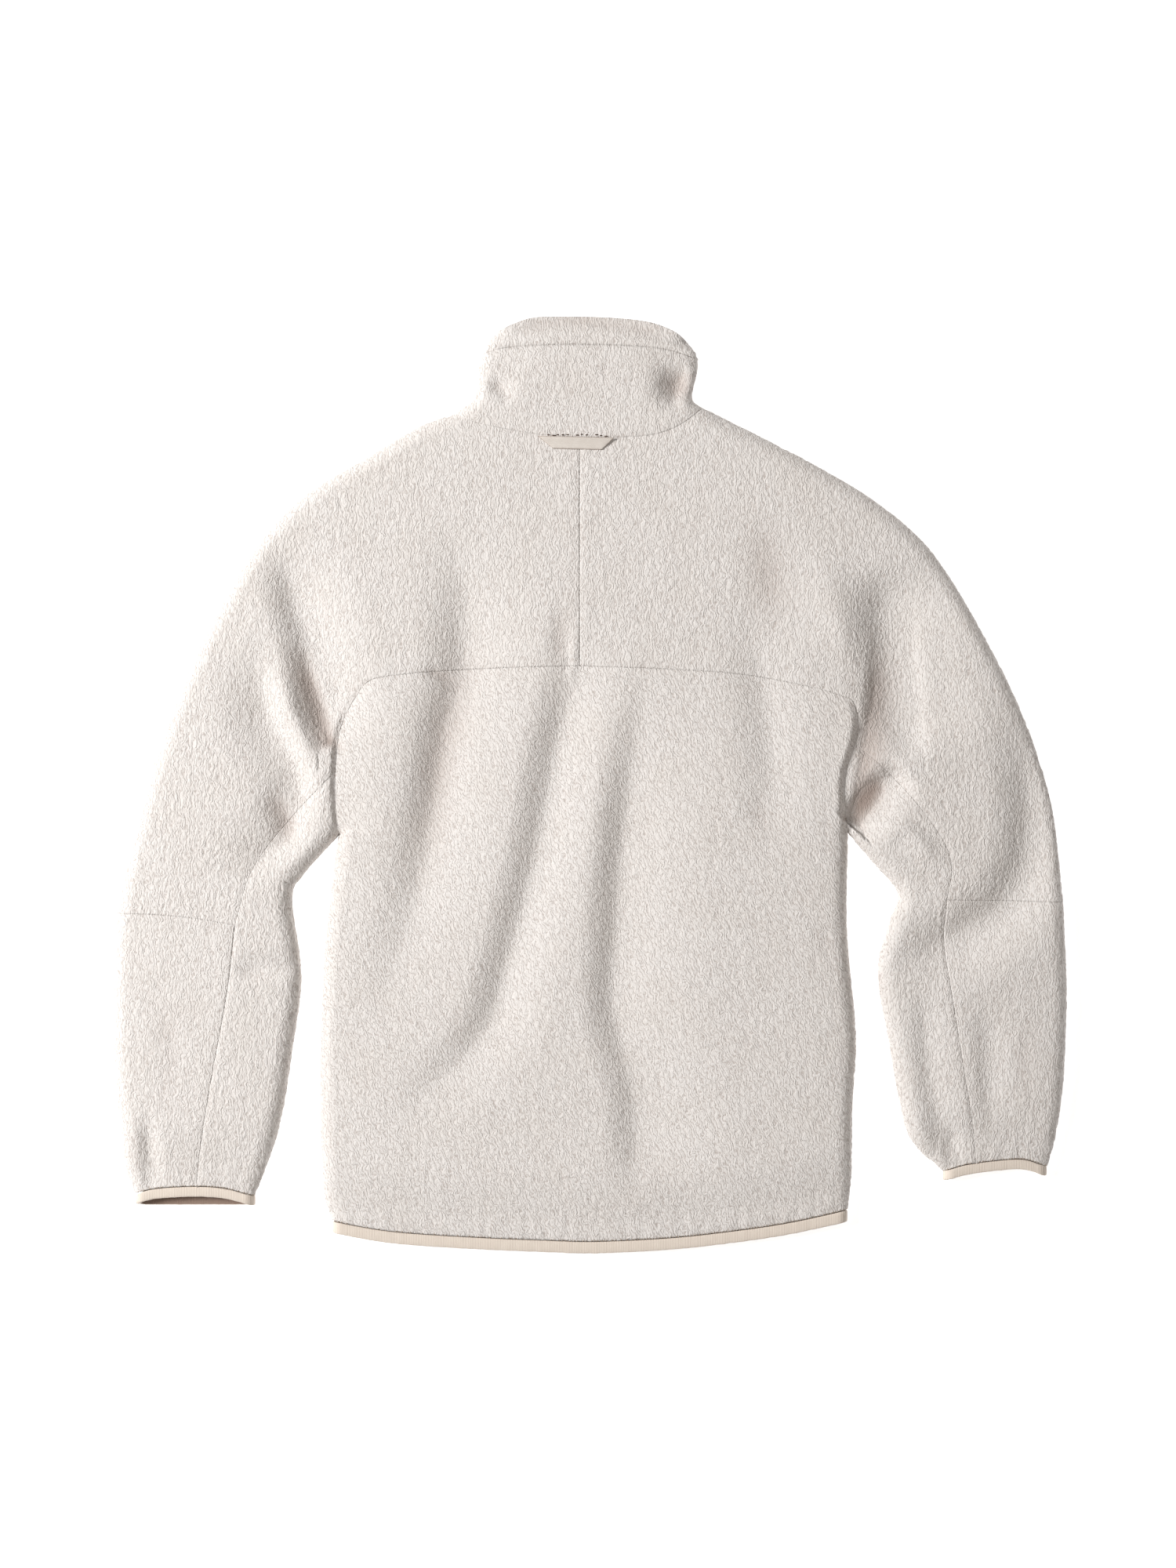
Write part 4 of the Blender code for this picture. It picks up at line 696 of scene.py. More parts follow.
def pulled_in(panel, gap):
    """Points of a panel's plan with the sewn stretches of its sides moved in by a gap."""
    moved = panel.plan.copy()
    for side, (low, high) in panel.sewn.items():
        rim, inner = {"start": (np.s_[0, :], np.s_[2, :]), "end": (np.s_[-1, :], np.s_[-3, :]),
                      "first": (np.s_[:, 0], np.s_[:, 2]), "last": (np.s_[:, -1], np.s_[:, -3])}[side]
        along = unit(np.gradient(panel.plan[rim], axis=0))
        step = panel.plan[inner] - panel.plan[rim]
        step = unit(step - (step * along).sum(1)[:, None] * along)
        moved[rim][low:high] += gap * step[low:high]
    return moved.reshape(-1, 2)


def grid_normals(points, away, edge, shape, sign):
    """Normals of a grid by the cross product of its two differences, turned outward, and level
    with the surface on the outline itself."""
    grid = points.reshape(*shape, 3)
    normal = np.cross(np.gradient(grid, axis=0), np.gradient(grid, axis=1)).reshape(-1, 3)
    normal = unit(normal, 1e-12)
    normal *= np.sign(np.median(normal[:, 2])) * sign
    level = np.column_stack((-away, np.zeros(len(away))))
    weight = np.clip(1 - edge / LEVEL_NORMAL_REACH, 0, 1)[:, None]
    return unit((1 - weight) * normal + weight * level)


def ridge_relief(points, ridges):
    """Strips of pile pushed up beside a seam: height times a bump across the strip's width."""
    total = np.zeros(len(points))
    for path, wanted, width, height in ridges:
        vector, side = Lines([path]).reach(points, width)[::2]
        share = np.linalg.norm(vector, axis=1) / width
        total += np.where(side == wanted, height * bump(share), 0)
    return total


def gathers(points, fleece):
    """Small upright ripples where the elastic draws the hem and cuffs in, fading up the cloth."""
    fade = (1 - GATHERED.distance(points, fleece.gather_reach) / fleece.gather_reach) ** 2
    level_points = np.column_stack((points / GATHER_WANDER_SIZE, np.zeros(len(points))))
    wander = GATHER_WANDER * gradient_noise(level_points, 31)
    return fleece.gather_height * fade * np.sin(points[:, 0] * 2 * np.pi / GATHER_PITCH + wander)


def sheet_size(grid):
    """Size of the cloth as cut, its longest row and its longest column, and its flat area."""
    down = np.linalg.norm(np.diff(grid, axis=0), axis=2).sum(0).max()
    over = np.linalg.norm(np.diff(grid, axis=1), axis=2).sum(1).max()
    one = grid[1:, 1:] - grid[:-1, :-1]
    other = grid[:-1, 1:] - grid[1:, :-1]
    area = np.linalg.norm(np.cross(one, other), axis=2).sum() / 2
    return float(over), float(down), float(area)


def shell(name, outer, inner, sign, values):
    """Closed mesh of a fine outer grid and an inner grid with one point in four each way, joined
    by a rim of flat faces that each take four fine edges and one coarse edge. Values at the outer
    grid's points become attributes."""
    fine_rows, fine_columns = outer.shape[:2]
    coarse = inner[::INNER_STRIDE, ::INNER_STRIDE]
    index = np.arange(fine_rows * fine_columns).reshape(fine_rows, fine_columns)
    under = np.arange(coarse.shape[0] * coarse.shape[1]).reshape(coarse.shape[:2]) + index.size
    top = quads(index)
    low = quads(under)[:, ::-1]
    ring, under_ring = around(index), around(under)
    groups = ring.reshape(-1, INNER_STRIDE)
    rim = np.column_stack((groups, np.roll(groups, -1, axis=0)[:, 0], np.roll(under_ring, -1),
                           under_ring))
    over = np.gradient(outer[..., :2], axis=0)
    along = np.gradient(outer[..., :2], axis=1)
    if np.median(over[..., 0] * along[..., 1] - over[..., 1] * along[..., 0]) * sign < 0:
        top, low, rim = top[:, ::-1], low[:, ::-1], rim[:, ::-1]
    points = np.vstack((outer.reshape(-1, 3), coarse.reshape(-1, 3)))
    piece = mesh_piece(name, points, (top, low, rim))
    smooth = np.arange(len(top) + len(low) + len(rim)) < len(top) + len(low)
    piece.data.polygons.foreach_set("use_smooth", smooth)
    for key, value in values.items():
        grid = value.reshape(fine_rows, fine_columns)
        give_values(piece, key, np.append(value, grid[::INNER_STRIDE, ::INNER_STRIDE]))
    return piece


def give_values(piece, key, values):
    """Store one number for each point of a piece, for its material to read."""
    attribute = piece.data.attributes.new(key, "FLOAT", "POINT")
    attribute.data.foreach_set("value", np.asarray(values, np.float32).ravel())


def quads(index):
    """Faces of a grid of point numbers."""
    faces = np.stack((index[:-1, :-1], index[1:, :-1], index[1:, 1:], index[:-1, 1:]), axis=-1)
    return faces.reshape(-1, 4)


def around(index):
    """Point numbers round the rim of a grid, each once."""
    return np.concatenate((index[0, :-1], index[:-1, -1], index[-1, :0:-1], index[:0:-1, 0]))


def mesh_piece(name, points, faces):
    """Object of points and face arrays, each array with faces of one length."""
    mesh = bpy.data.meshes.new(name)
    loops = np.concatenate([block.ravel() for block in faces])
    sizes = np.concatenate([np.full(len(block), block.shape[1]) for block in faces])
    mesh.vertices.add(len(points))
    mesh.vertices.foreach_set("co", points.astype(np.float32).ravel())
    mesh.loops.add(len(loops))
    mesh.loops.foreach_set("vertex_index", loops.astype(np.int32))
    mesh.polygons.add(len(sizes))
    starts = np.concatenate(([0], np.cumsum(sizes)[:-1]))
    mesh.polygons.foreach_set("loop_start", starts.astype(np.int32))
    mesh.update(calc_edges=True)
    mesh.validate()
    mesh.shade_smooth()
    piece = bpy.data.objects.new(name, mesh)
    bpy.context.scene.collection.objects.link(piece)
    return piece


def dress(piece, finish, body, slot, *nodes):
    """Give a piece its material and body, and let it stand for the solids that it is laid over."""
    piece.data.materials.append(finish)
    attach(piece, body)
    if nodes:
        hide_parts(*nodes)


def yoke_panel(side, fleece):
    """Yoke and upper sleeve in one, from the centre back to the elbow seam."""
    step = fleece.back_step
    neck, overarm, yoke_seam, crease, under_seam, elbow = curves(
        side, "neck", "overarm", "yoke_seam", "upper_crease", "upper_under_seam", "elbow_seam")
    neighbours = (cut(yoke_seam, YOKE_SEAM_STOP, 1), crease, under_seam)
    pairs = [(neck, cut(yoke_seam, 0, YOKE_SEAM_STOP))]
    pairs += [(cut(overarm, start, end), other)
              for start, end, other in zip(OVERARM_STOPS, OVERARM_STOPS[1:], neighbours)]
    upper, lower = matched(pairs, step)
    shares = edged_shares(run_lengths(upper, lower), step)
    plan = between(upper, lower, shares, end=place_along(elbow, shares[-1]))
    centre = np.array((neck[0], yoke_seam[0]))
    seams = ((neck, SEWN["neck"]), (yoke_seam, SEWN["yoke"]), (crease, SEWN["armhole"]),
             (under_seam, SEWN["under"]), (elbow, SEWN["elbow"]), (centre, SEWN["centre"]))
    ridges = ((centre, 1, *RIDGES["centre"]),) if side == "right" else ()
    sewn = {"start": WHOLE, "end": WHOLE, "last": WHOLE, "first": (0, rows_for(pairs[0], step))}
    return Panel("fleece_yoke_" + side, "back_yoke_" + side, plan, seams, sewn, ridges)


def forearm_panel(side, fleece):
    """Outer forearm between the elbow seam and the cuff binding."""
    overarm, under_seam, elbow = curves(side, "lower_overarm", "lower_under_seam", "elbow_seam")
    outer, inner = matched(((overarm, under_seam),), fleece.back_step)
    shares = edged_shares(run_lengths(outer, inner), fleece.back_step)
    cuff = cuff_run(side, 0.0, shares[-1])
    plan = between(outer, inner, shares, start=place_along(elbow, shares[0]), end=cuff)
    seams = ((elbow, SEWN["elbow"]), (under_seam, SEWN["under"]), (cuff, SEWN["bound"]))
    ridge = (elbow, -1 if side == "left" else 1, *RIDGES["elbow"])
    return Panel("fleece_forearm_" + side, "back_forearm_" + side, plan, seams,
                 {"start": WHOLE, "end": WHOLE, "last": WHOLE}, (ridge,))


def cuff_run(side, start, shares):
    """Stretch of the cuff line from one of its ends, 0 at the outer forearm or 1 at the
    under-sleeve, to the seam between them."""
    path = curve("cuff_line_" + side)
    corner = np.array(CURVES["lower_under_seam_" + side][-1])
    split = Lines([path]).reach(corner[None], SEAM_REACH)[1][0]
    run = place_along(path, start + np.asarray(shares) * (split - start))
    run[-1] = corner
    return run


def under_sleeve_panel(side, fleece):
    """Under-sleeve along the sleeve's inner side, from the armhole to the cuff."""
    upper, lower, crease, inner_sleeve = curves(
        side, "upper_under_seam", "lower_under_seam", "lower_crease", "inner_sleeve")
    pairs = ((cut(crease, UNDER_TIP[0], 1), cut(upper, UNDER_TIP[1], UNDER_SEAM_STOP)),
             (cut(inner_sleeve, 0, INNER_SLEEVE_STOP), cut(upper, UNDER_SEAM_STOP, 1)),
             (cut(inner_sleeve, INNER_SLEEVE_STOP, 1), lower))
    outer, seam_side = matched(pairs, fleece.back_step)
    shares = edged_shares(run_lengths(outer, seam_side), fleece.back_step)
    cuff = cuff_run(side, 1.0, shares[-1])
    plan = between(outer, seam_side, shares, end=cuff)
    seams = ((upper, SEWN["under"]), (lower, SEWN["under"]), (crease, SEWN["armhole"]),
             (cuff, SEWN["bound"]))
    ridge = (lower, 1 if side == "left" else -1, *RIDGES["under"])
    return Panel("fleece_under_sleeve_" + side, "under_sleeve_" + side, plan, seams,
                 {"end": WHOLE, "last": WHOLE}, (ridge,))


def body_panel(fleece):
    """Back panel between the yoke seam, the creases at the armholes, the sides and the hem."""
    step = fleece.back_step
    pairs = [[curve(name + "_" + side) for side in SIDES]
             for name in ("upper_crease", "lower_crease", "side")]
    left, right = matched(pairs, step)
    upper_rows, lower_rows = (rows_for(pair, step) for pair in pairs[:2])
    edged = edged_shares(run_lengths(left, right), step, last=True)
    even = np.linspace(0, 1, edged.shape[1])
    change = ease((np.arange(len(left)) - upper_rows) / lower_rows)[:, None]
    shares = (1 - change) * even + change * edged
    hem = curve("hem_line")
    yoke_seam = joined(curve("yoke_seam_left")[::-1], curve("yoke_seam_right"))
    plan = between(left, right, shares, start=place_along(yoke_seam, even),
                   end=place_along(hem, edged[-1]))
    creases = [joined(*curves(side, "upper_crease", "lower_crease")) for side in SIDES]
    seams = ((yoke_seam, SEWN["yoke"]), (hem, SEWN["bound"]),
             *((crease, SEWN["armhole"]) for crease in creases))
    armhole = (0, upper_rows + lower_rows)
    sewn = {"start": WHOLE, "end": WHOLE, "first": armhole, "last": armhole}
    return Panel("fleece_back", "back_body", plan, seams, sewn, finish="sherpa_body")


def collar_panel(fleece):
    """Stand collar above the neck seam, up to its band seam."""
    neck = joined(curve("neck_left")[::-1], curve("neck_right"))
    band_seam = curve("band_seam")
    return Panel("fleece_collar", "collar_back",
                 collar_plan(neck, band_seam, "collar_side_", fleece.back_step),
                 ((neck, SEWN["neck"]), (band_seam, SEWN["band"])), {"start": WHOLE, "end": WHOLE})


def band_panel(fleece):
    """Upper band of the collar, up to its open mouth."""
    band_seam = curve("band_seam")
    return Panel("fleece_collar_band", "collar_band_back",
                 collar_plan(band_seam, curve("mouth"), "band_side_", fleece.back_step),
                 ((band_seam, SEWN["band"]),), {"start": WHOLE}, ((band_seam, 1, *RIDGES["band"]),))


def collar_plan(low, high, sides, step):
    """Grid up the collar, with its columns close together at both ends."""
    left, right = (curve(sides + side) for side in SIDES)
    shares = edged_shares(np.array([travelled(low)[-1]]), step, last=True)[0]
    rows = np.linspace(0, 1, cells(travelled(left)[-1], step) + 1)
    return filled(place_along(low, shares), place_along(high, shares), place_along(left, rows),
                  place_along(right, rows), shares)


def raglan(side):
    """Front armhole seam from the neck seam to the underarm point."""
    neck = place_along(front_neck(side), [FRONT_NECK_SHARE])[0]
    return smooth_curve((tuple(neck),) + CURVES["raglan_" + side])


def front_neck(side):
    """Front neck seam from the shoulder point to the front edge beside the zip."""
    path = curve("front_neck_" + side)
    path[-1, 0] = FRONT_EDGES[side]
    return path


def front_sleeve_panel(side, fleece):
    """Underside of the whole sleeve, from the neck seam to the cuff. On the right its end follows
    the cuff line of the back."""
    step = fleece.front_step
    overarm, lower_overarm, inner_sleeve, cuff_line = curves(
        side, "overarm", "lower_overarm", "inner_sleeve", "cuff_line")
    pairs = ((cut(overarm, 0, FRONT_OVERARM_STOP), raglan(side)),
             (cut(overarm, FRONT_OVERARM_STOP, 1), cut(inner_sleeve, 0, FRONT_INNER_SLEEVE_STOP)),
             (lower_overarm, cut(inner_sleeve, FRONT_INNER_SLEEVE_STOP, 1)))
    outer, inner = matched(pairs, step)
    shares = edged_shares(run_lengths(outer, inner), step, last=True)
    cuff = place_along(cuff_line, shares[-1]) if side == "right" else None
    plan = between(outer, inner, shares, end=cuff)
    sewn = {"start": WHOLE, "end": WHOLE, "last": (0, rows_for(pairs[0], step))}
    return Panel("fleece_front_sleeve_" + side, "front_sleeve_" + side, plan,
                 ((raglan(side), SEWN["front"]),), sewn, upward=False)


def front_panel(side, fleece):
    """Front between the neck seam, the armhole seam, the side, the hem and the zip."""
    step = fleece.front_step
    x = FRONT_EDGES[side]
    hem = curve("hem_line")
    neck = cut(front_neck(side), FRONT_NECK_SHARE, 1)
    hem_end = np.array((x, np.interp(x, hem[:, 0], hem[:, 1])))
    centre = np.array((neck[-1], hem_end))
    armhole, flank = raglan(side), curve("side_" + side)
    share = travelled(armhole)[-1] / (travelled(armhole)[-1] + travelled(flank)[-1])
    pairs = ((armhole, cut(centre, 0, share)), (flank, cut(centre, share, 1)))
    outer, inner = matched(pairs, step)
    shares = edged_shares(run_lengths(outer, inner), step)
    hem_share = np.interp(x, hem[:, 0], shares_of(hem))
    side_end = 0.0 if side == "left" else 1.0
    end = place_along(hem, side_end + shares[-1] * (hem_share - side_end))
    end[-1] = hem_end
    plan = between(outer, inner, shares, start=place_along(neck, shares[0]), end=end)
    sewn = {"start": WHOLE, "end": WHOLE, "first": (0, rows_for(pairs[0], step))}
    return Panel("fleece_front_" + side, "front_body_" + side, plan,
                 ((armhole, SEWN["front"]), (neck, SEWN["front"])), sewn, (), False, "sherpa_body")


def front_run(side, name):
    """Half of the band seam or the mouth, from the outline to the front edge."""
    path = curve(name) if side == "left" else curve(name)[::-1]
    sign = 1 if side == "left" else -1
    return cut(path, 0, np.interp(sign * FRONT_EDGES[side], sign * path[:, 0], shares_of(path)))


def front_collar_panel(side, fleece):
    """Front half of the stand collar, from the front neck seam to the band seam."""
    neck, band_seam = front_neck(side), front_run(side, "band_seam")
    return front_collar("fleece_collar_front_" + side, "collar_front_" + side, neck, band_seam,
                        curve("collar_side_" + side), (neck, band_seam), fleece.front_step)


def front_band_panel(side, fleece):
    """Front half of the collar's upper band."""
    band_seam = front_run(side, "band_seam")
    return front_collar("fleece_collar_band_front_" + side, "collar_band_" + side, band_seam,
                        front_run(side, "mouth"), curve("band_side_" + side), (band_seam,),
                        fleece.front_step)


def front_collar(name, node, low, high, outer, seams, step):
    """Front piece of the collar, with the outline at its first column and the zip at its last."""
    shares = edged_shares(np.array([travelled(low)[-1]]), step)[0]
    rows = np.linspace(0, 1, cells(travelled(outer)[-1], step) + 1)
    start, end = place_along(low, shares), place_along(high, shares)
    inner = np.linspace(start[-1], end[-1], len(rows))
    plan = filled(start, end, place_along(outer, rows), inner, shares)
    return Panel(name, node, plan, [(path, SEWN["front"]) for path in seams],
                 {"start": WHOLE, "end": WHOLE}, upward=False)


def binding_track(low_x, high_x, turn, trim, opening):
    """Middle line of a flattened ring: the back's level run, a half circle, the front's run and a
    half circle, parted at an opening in the front's run. The columns are x, the height from the
    middle, and the outward direction in X and Z."""
    xs = np.linspace(low_x, high_x, int((high_x - low_x) / trim.binding_step))
    quarter = np.linspace(-np.pi / 2, np.pi / 2, BINDING_TURN_POINTS)[1:-1]
    back = straight_run(xs[::-1], 1.0, turn)
    left_turn = half_circle(low_x, quarter + np.pi, turn)
    right_turn = half_circle(high_x, quarter, turn)
    if opening is None:
        return np.vstack((back, left_turn, straight_run(xs, -1.0, turn), right_turn))
    left_xs = np.append(xs[xs < opening[0] - BINDING_END_ROOM], opening[0])
    right_xs = np.insert(xs[xs > opening[1] + BINDING_END_ROOM], 0, opening[1])
    return np.vstack((straight_run(right_xs, -1.0, turn), right_turn, back, left_turn,
                      straight_run(left_xs, -1.0, turn)))


def binding_ring(back_path, trim, opening, width, droop):
    """Folded elastic round an open end: a strip folded to a U that opens to the cloth, carried
    along the track. The front run follows the back run, or with a droop of 1 lies straight below
    it. Returns the rings of points, which of them are on the inner face, and the length."""
    half = trim.binding_thickness / 2
    back_height = OPEN_END_HEIGHT - trim.binding_inset
    turn = (back_height - trim.front_binding_height) / 2
    middle = (back_height + trim.front_binding_height) / 2
    path = back_path[back_path[:, 0].argsort()]
    track = binding_track(path[0, 0] + turn + half, path[-1, 0] - turn - half, turn, trim, opening)
    back_y = np.interp(track[:, 0], path[:, 0], path[:, 1]) - trim.binding_gap
    front_y = back_y + droop * (path[:, 1].min() - trim.binding_gap - back_y)
    blend = (track[:, 1] / turn + 1) / 2
    centre = np.column_stack((track[:, 0], blend * back_y + (1 - blend) * front_y,
                              middle + track[:, 1]))
    length = travelled(centre)
    ripple = gradient_noise(np.outer(length / BINDING_RIPPLE_SIZE, (1, 0, 0)), 41)[:, None]
    angle = np.radians(np.linspace(*BINDING_ARC))
    out = np.append(squared(np.cos(angle), BINDING_SQUARING[0]), BINDING_SLOT[0])
    down = np.append((squared(np.sin(angle), BINDING_SQUARING[1]) - 1) / 2, BINDING_SLOT[1])
    gone = half * out * (1 + BINDING_RIPPLE[0] * ripple)
    drop = width * down * (1 + BINDING_RIPPLE[1] * ripple)
    rings = centre[:, None] + np.stack((track[:, 2, None] * gone, drop, track[:, 3, None] * gone),
                                       axis=-1)
    rings[..., 2] = np.maximum(rings[..., 2], LOWEST_BINDING)
    # Points on the inner face get painted shade, the dark inside the opening.
    inside = (out < BINDING_INSIDE[0]) & (down > BINDING_INSIDE[1])
    return rings, np.broadcast_to(inside, rings.shape[:2]), float(length[-1])


def straight_run(xs, up, turn):
    """Rows (x, height from the middle, outward x, outward z) of a level run of the ring."""
    return np.column_stack((xs, np.full(len(xs), up * turn), np.zeros(len(xs)), np.full(len(xs), up)))


def half_circle(x, angle, turn):
    """Rows of a half circle of the ring, in the same columns."""
    return np.column_stack((x + turn * np.cos(angle), turn * np.sin(angle), np.cos(angle),
                            np.sin(angle)))


def squared(value, power):
    """Signed power, which squares off a circle's sine or cosine."""
    return np.sign(value) * np.abs(value) ** power


def swept(name, rings, closed):
    """Mesh of rings of points, joined end to end or closed with caps, faces outward."""
    index = np.arange(rings.shape[0] * rings.shape[1]).reshape(rings.shape[:2])
    wrapped = np.column_stack((index, index[:, 0]))
    faces = [quads(np.vstack((wrapped, wrapped[0])) if closed else wrapped)]
    if not closed:
        faces += [index[:1], index[-1:, ::-1]]
    middle = rings.mean(axis=1)
    around_first = np.cross(middle[1] - middle[0], rings[0, 1] - rings[0, 0])
    if np.dot(around_first, rings[0, 0] - middle[0]) < 0:
        faces = [block[:, ::-1] for block in faces]
    return mesh_piece(name, rings.reshape(-1, 3), faces)


def tubes(name, points):
    """Mesh of closed tubes, from the points of each tube's rings."""
    index = np.arange(points[..., 0].size).reshape(points.shape[:3])
    following = np.roll(index, -1, axis=2)
    sides = np.stack((index[:, :-1], following[:, :-1], following[:, 1:], index[:, 1:]), axis=-1)
    faces = (sides.reshape(-1, 4)[:, ::-1], index[:, 0], index[:, -1, ::-1])
    return mesh_piece(name, points.reshape(-1, 3), faces)


def capsules(name, starts, ends, radius):
    """Short round stitches, each a closed tube of four rings whose end rings are small."""
    along = ends - starts
    across = unit(np.cross(along, (0, 0, 1)))
    lift = np.cross(across, unit(along))
    share, girth, arch = np.array(STITCH_RINGS).T[..., None]
    angle = np.linspace(0, 2 * np.pi, STITCH_SIDES, endpoint=False)[:, None]
    centre = starts[:, None] + share * along[:, None] + arch * radius * lift[:, None]
    ring = np.cos(angle) * across[:, None] + np.sin(angle) * lift[:, None]
    return tubes(name, centre[:, :, None] + radius * girth[..., None] * ring[:, None])


def new_material(name, values):
    """Material with some of its shader's input values set."""
    made = bpy.data.materials.new(name)
    made.use_nodes = True
    for key, value in values.items():
        made.node_tree.nodes["Principled BSDF"].inputs[key].default_value = value
    return made


def add_node(tree, kind, inputs, **settings):
    """Shader node with some settings, and with inputs that are numbers or other nodes' outputs."""
    node = tree.nodes.new("ShaderNode" + kind)
    for key, value in settings.items():
        setattr(node, key, value)
    for key, value in inputs.items():
        if isinstance(value, bpy.types.NodeSocket):
            tree.links.new(value, node.inputs[key])
        else:
            node.inputs[key].default_value = value
    return node


def mapped(tree, scale=(1.0, 1.0, 1.0), turn=0.0):
    """Object coordinates, turned about Z and scaled."""
    place = add_node(tree, "TexCoord", {}).outputs["Object"]
    values = {"Vector": place, "Rotation": (0, 0, turn), "Scale": scale}
    return add_node(tree, "Mapping", values).outputs["Vector"]


def texture(tree, kind, where, inputs, **settings):
    """Strength of a texture at mapped coordinates."""
    return add_node(tree, "Tex" + kind, {"Vector": where, **inputs}, **settings).outputs["Fac"]


def stored(tree, key):
    """Number stored at the points of the piece."""
    return add_node(tree, "Attribute", {}, attribute_name=key).outputs["Fac"]


def combined(tree, operation, *values):
    """Result of a mathematical operation on numbers or outputs."""
    return add_node(tree, "Math", dict(enumerate(values)), operation=operation).outputs["Value"]


def mixed(tree, low, high, factor):
    """Colour between two, by a factor. Each end is a colour or an output."""
    low, high = (end if isinstance(end, bpy.types.NodeSocket) else (*end, 1.0) for end in (low, high))
    mix = add_node(tree, "Mix", {"Factor": factor, "A": low, "B": high}, data_type="RGBA")
    return mix.outputs["Result"]


def ranged(tree, value, low, high, to_low=0.0, to_high=1.0):
    """A value's range from low to high carried to another range."""
    values = {"Value": value, "From Min": low, "From Max": high, "To Min": to_low, "To Max": to_high}
    return add_node(tree, "MapRange", values).outputs["Result"]


def finished(made, colour, height, strength, distance):
    """Material with its colour, and its bump from a height, joined to its shader."""
    tree = made.node_tree
    relief = add_node(tree, "Bump", {"Strength": strength, "Distance": distance, "Height": height})
    shader = tree.nodes["Principled BSDF"]
    tree.links.new(colour, shader.inputs["Base Color"])
    tree.links.new(relief.outputs["Normal"], shader.inputs["Normal"])
    return made


def strands(tree, where, pitch, bend, breaks):
    """Wavy strands of pile, 0 between them and 1 along their backs: parallel waves of a pitch, bent
    by noise and broken along their length by another noise."""
    wave = texture(tree, "Wave", where, {"Scale": WAVE_LENGTH / pitch, "Distortion": bend,
                                         "Detail": 1.0, "Detail Scale": 1.8,
                                         "Detail Roughness": 0.5}, bands_direction="X")
    broken = texture(tree, "Noise", where, {"Scale": breaks, "Detail": 1.0})
    return combined(tree, "MULTIPLY", wave, ranged(tree, broken, 0.32, 0.56, 0.25, 1.0))


def fleece_material(name, fleece):
    """Curly pile: strands at two sizes set the colour and the bump, with pits, slow warm blotches,
    painted shade in the seams and at the outline, and the painted shade of creases over them."""
    made = new_material(name, {"Roughness": 1.0, "Sheen Weight": 0.06})
    tree = made.node_tree
    where = mapped(tree, (1.0, 0.8, 1.0), -NAPS[name])
    large = strands(tree, where, fleece.strand_pitch, bend=11.0, breaks=330.0)
    small = strands(tree, where, 0.5 * fleece.strand_pitch, bend=9.0, breaks=600.0)
    both = combined(tree, "MULTIPLY_ADD", small, 0.3, ranged(tree, large, 0.0, 1.0, 0.0, 0.7))
    blotch = texture(tree, "Noise", mapped(tree), {"Scale": 28.0, "Detail": 2.0})
    tip = mixed(tree, fleece.tip_colour, fleece.warm_colour, ranged(tree, blotch, 0.4, 0.75))
    # The stored pile value also carries the painted shade at the seams and the outline.
    curl = mixed(tree, fleece.pit_colour, tip, ranged(tree, stored(tree, "pile"), 0.0, 0.45))
    shaded = mixed(tree, fleece.shade_colour, curl, ranged(tree, both, 0.0, 0.28))
    # Painted shade in the deep creases, by the stored hollow value.
    crease_shaded = mixed(tree, shaded, fleece.crease_shade_colour, stored(tree, "hollow"))
    return finished(made, crease_shaded, both, 1.0, fleece.strand_height)


def tape_material(name, light, dark, inside, across, along):
    """Woven or knitted tape: fine ribs both ways, tinted dark between them, with a soft bump. The
    inside attribute carries it to a painted shade colour, for the shade inside the bindings'
    openings and along the hanger loop's border."""
    made = new_material(name, {"Roughness": 0.8, "Sheen Weight": 0.1})
    tree = made.node_tree
    where = mapped(tree)
    ribs = texture(tree, "Wave", where, {"Scale": across, "Distortion": 0.6, "Detail": 1.0,
                                         "Detail Scale": 2.0}, bands_direction="X")
    weft = texture(tree, "Wave", where, {"Scale": along, "Distortion": 0.4}, bands_direction="Y")
    uneven = texture(tree, "Noise", where, {"Scale": 160.0, "Detail": 2.0})
    both = combined(tree, "MULTIPLY", ribs, weft)
    woven = mixed(tree, dark, light, ranged(tree, both, 0.0, 0.5, 0.45, 1.0))
    tinted = mixed(tree, woven, light, ranged(tree, uneven, 0.45, 0.8))
    return finished(made, mixed(tree, tinted, inside, stored(tree, "inside")), both, 0.5, 0.0003)


def plain_material(name, colour, roughness, metallic=0.0, grain=600.0):
    """Moulded or brushed surface: one colour with a faint grain in its tone and bump."""
    made = new_material(name, {"Roughness": roughness, "Metallic": metallic})
    tree = made.node_tree
    noise = texture(tree, "Noise", mapped(tree, (1.0, 0.15, 1.0)), {"Scale": grain, "Detail": 3.0})
    darker = tuple(0.86 * value for value in colour)
    tone = mixed(tree, darker, colour, ranged(tree, noise, 0.35, 0.65))
    return finished(made, tone, noise, 0.3, 0.00005)


def metres(name, description, default):
    """Setting that is a length in metres."""
    return FloatProperty(name=name, description=description, default=default, unit="LENGTH")


def tint(name, description, default):
    """Setting that is a colour."""
    return FloatVectorProperty(name=name, description=description, default=default, subtype="COLOR")


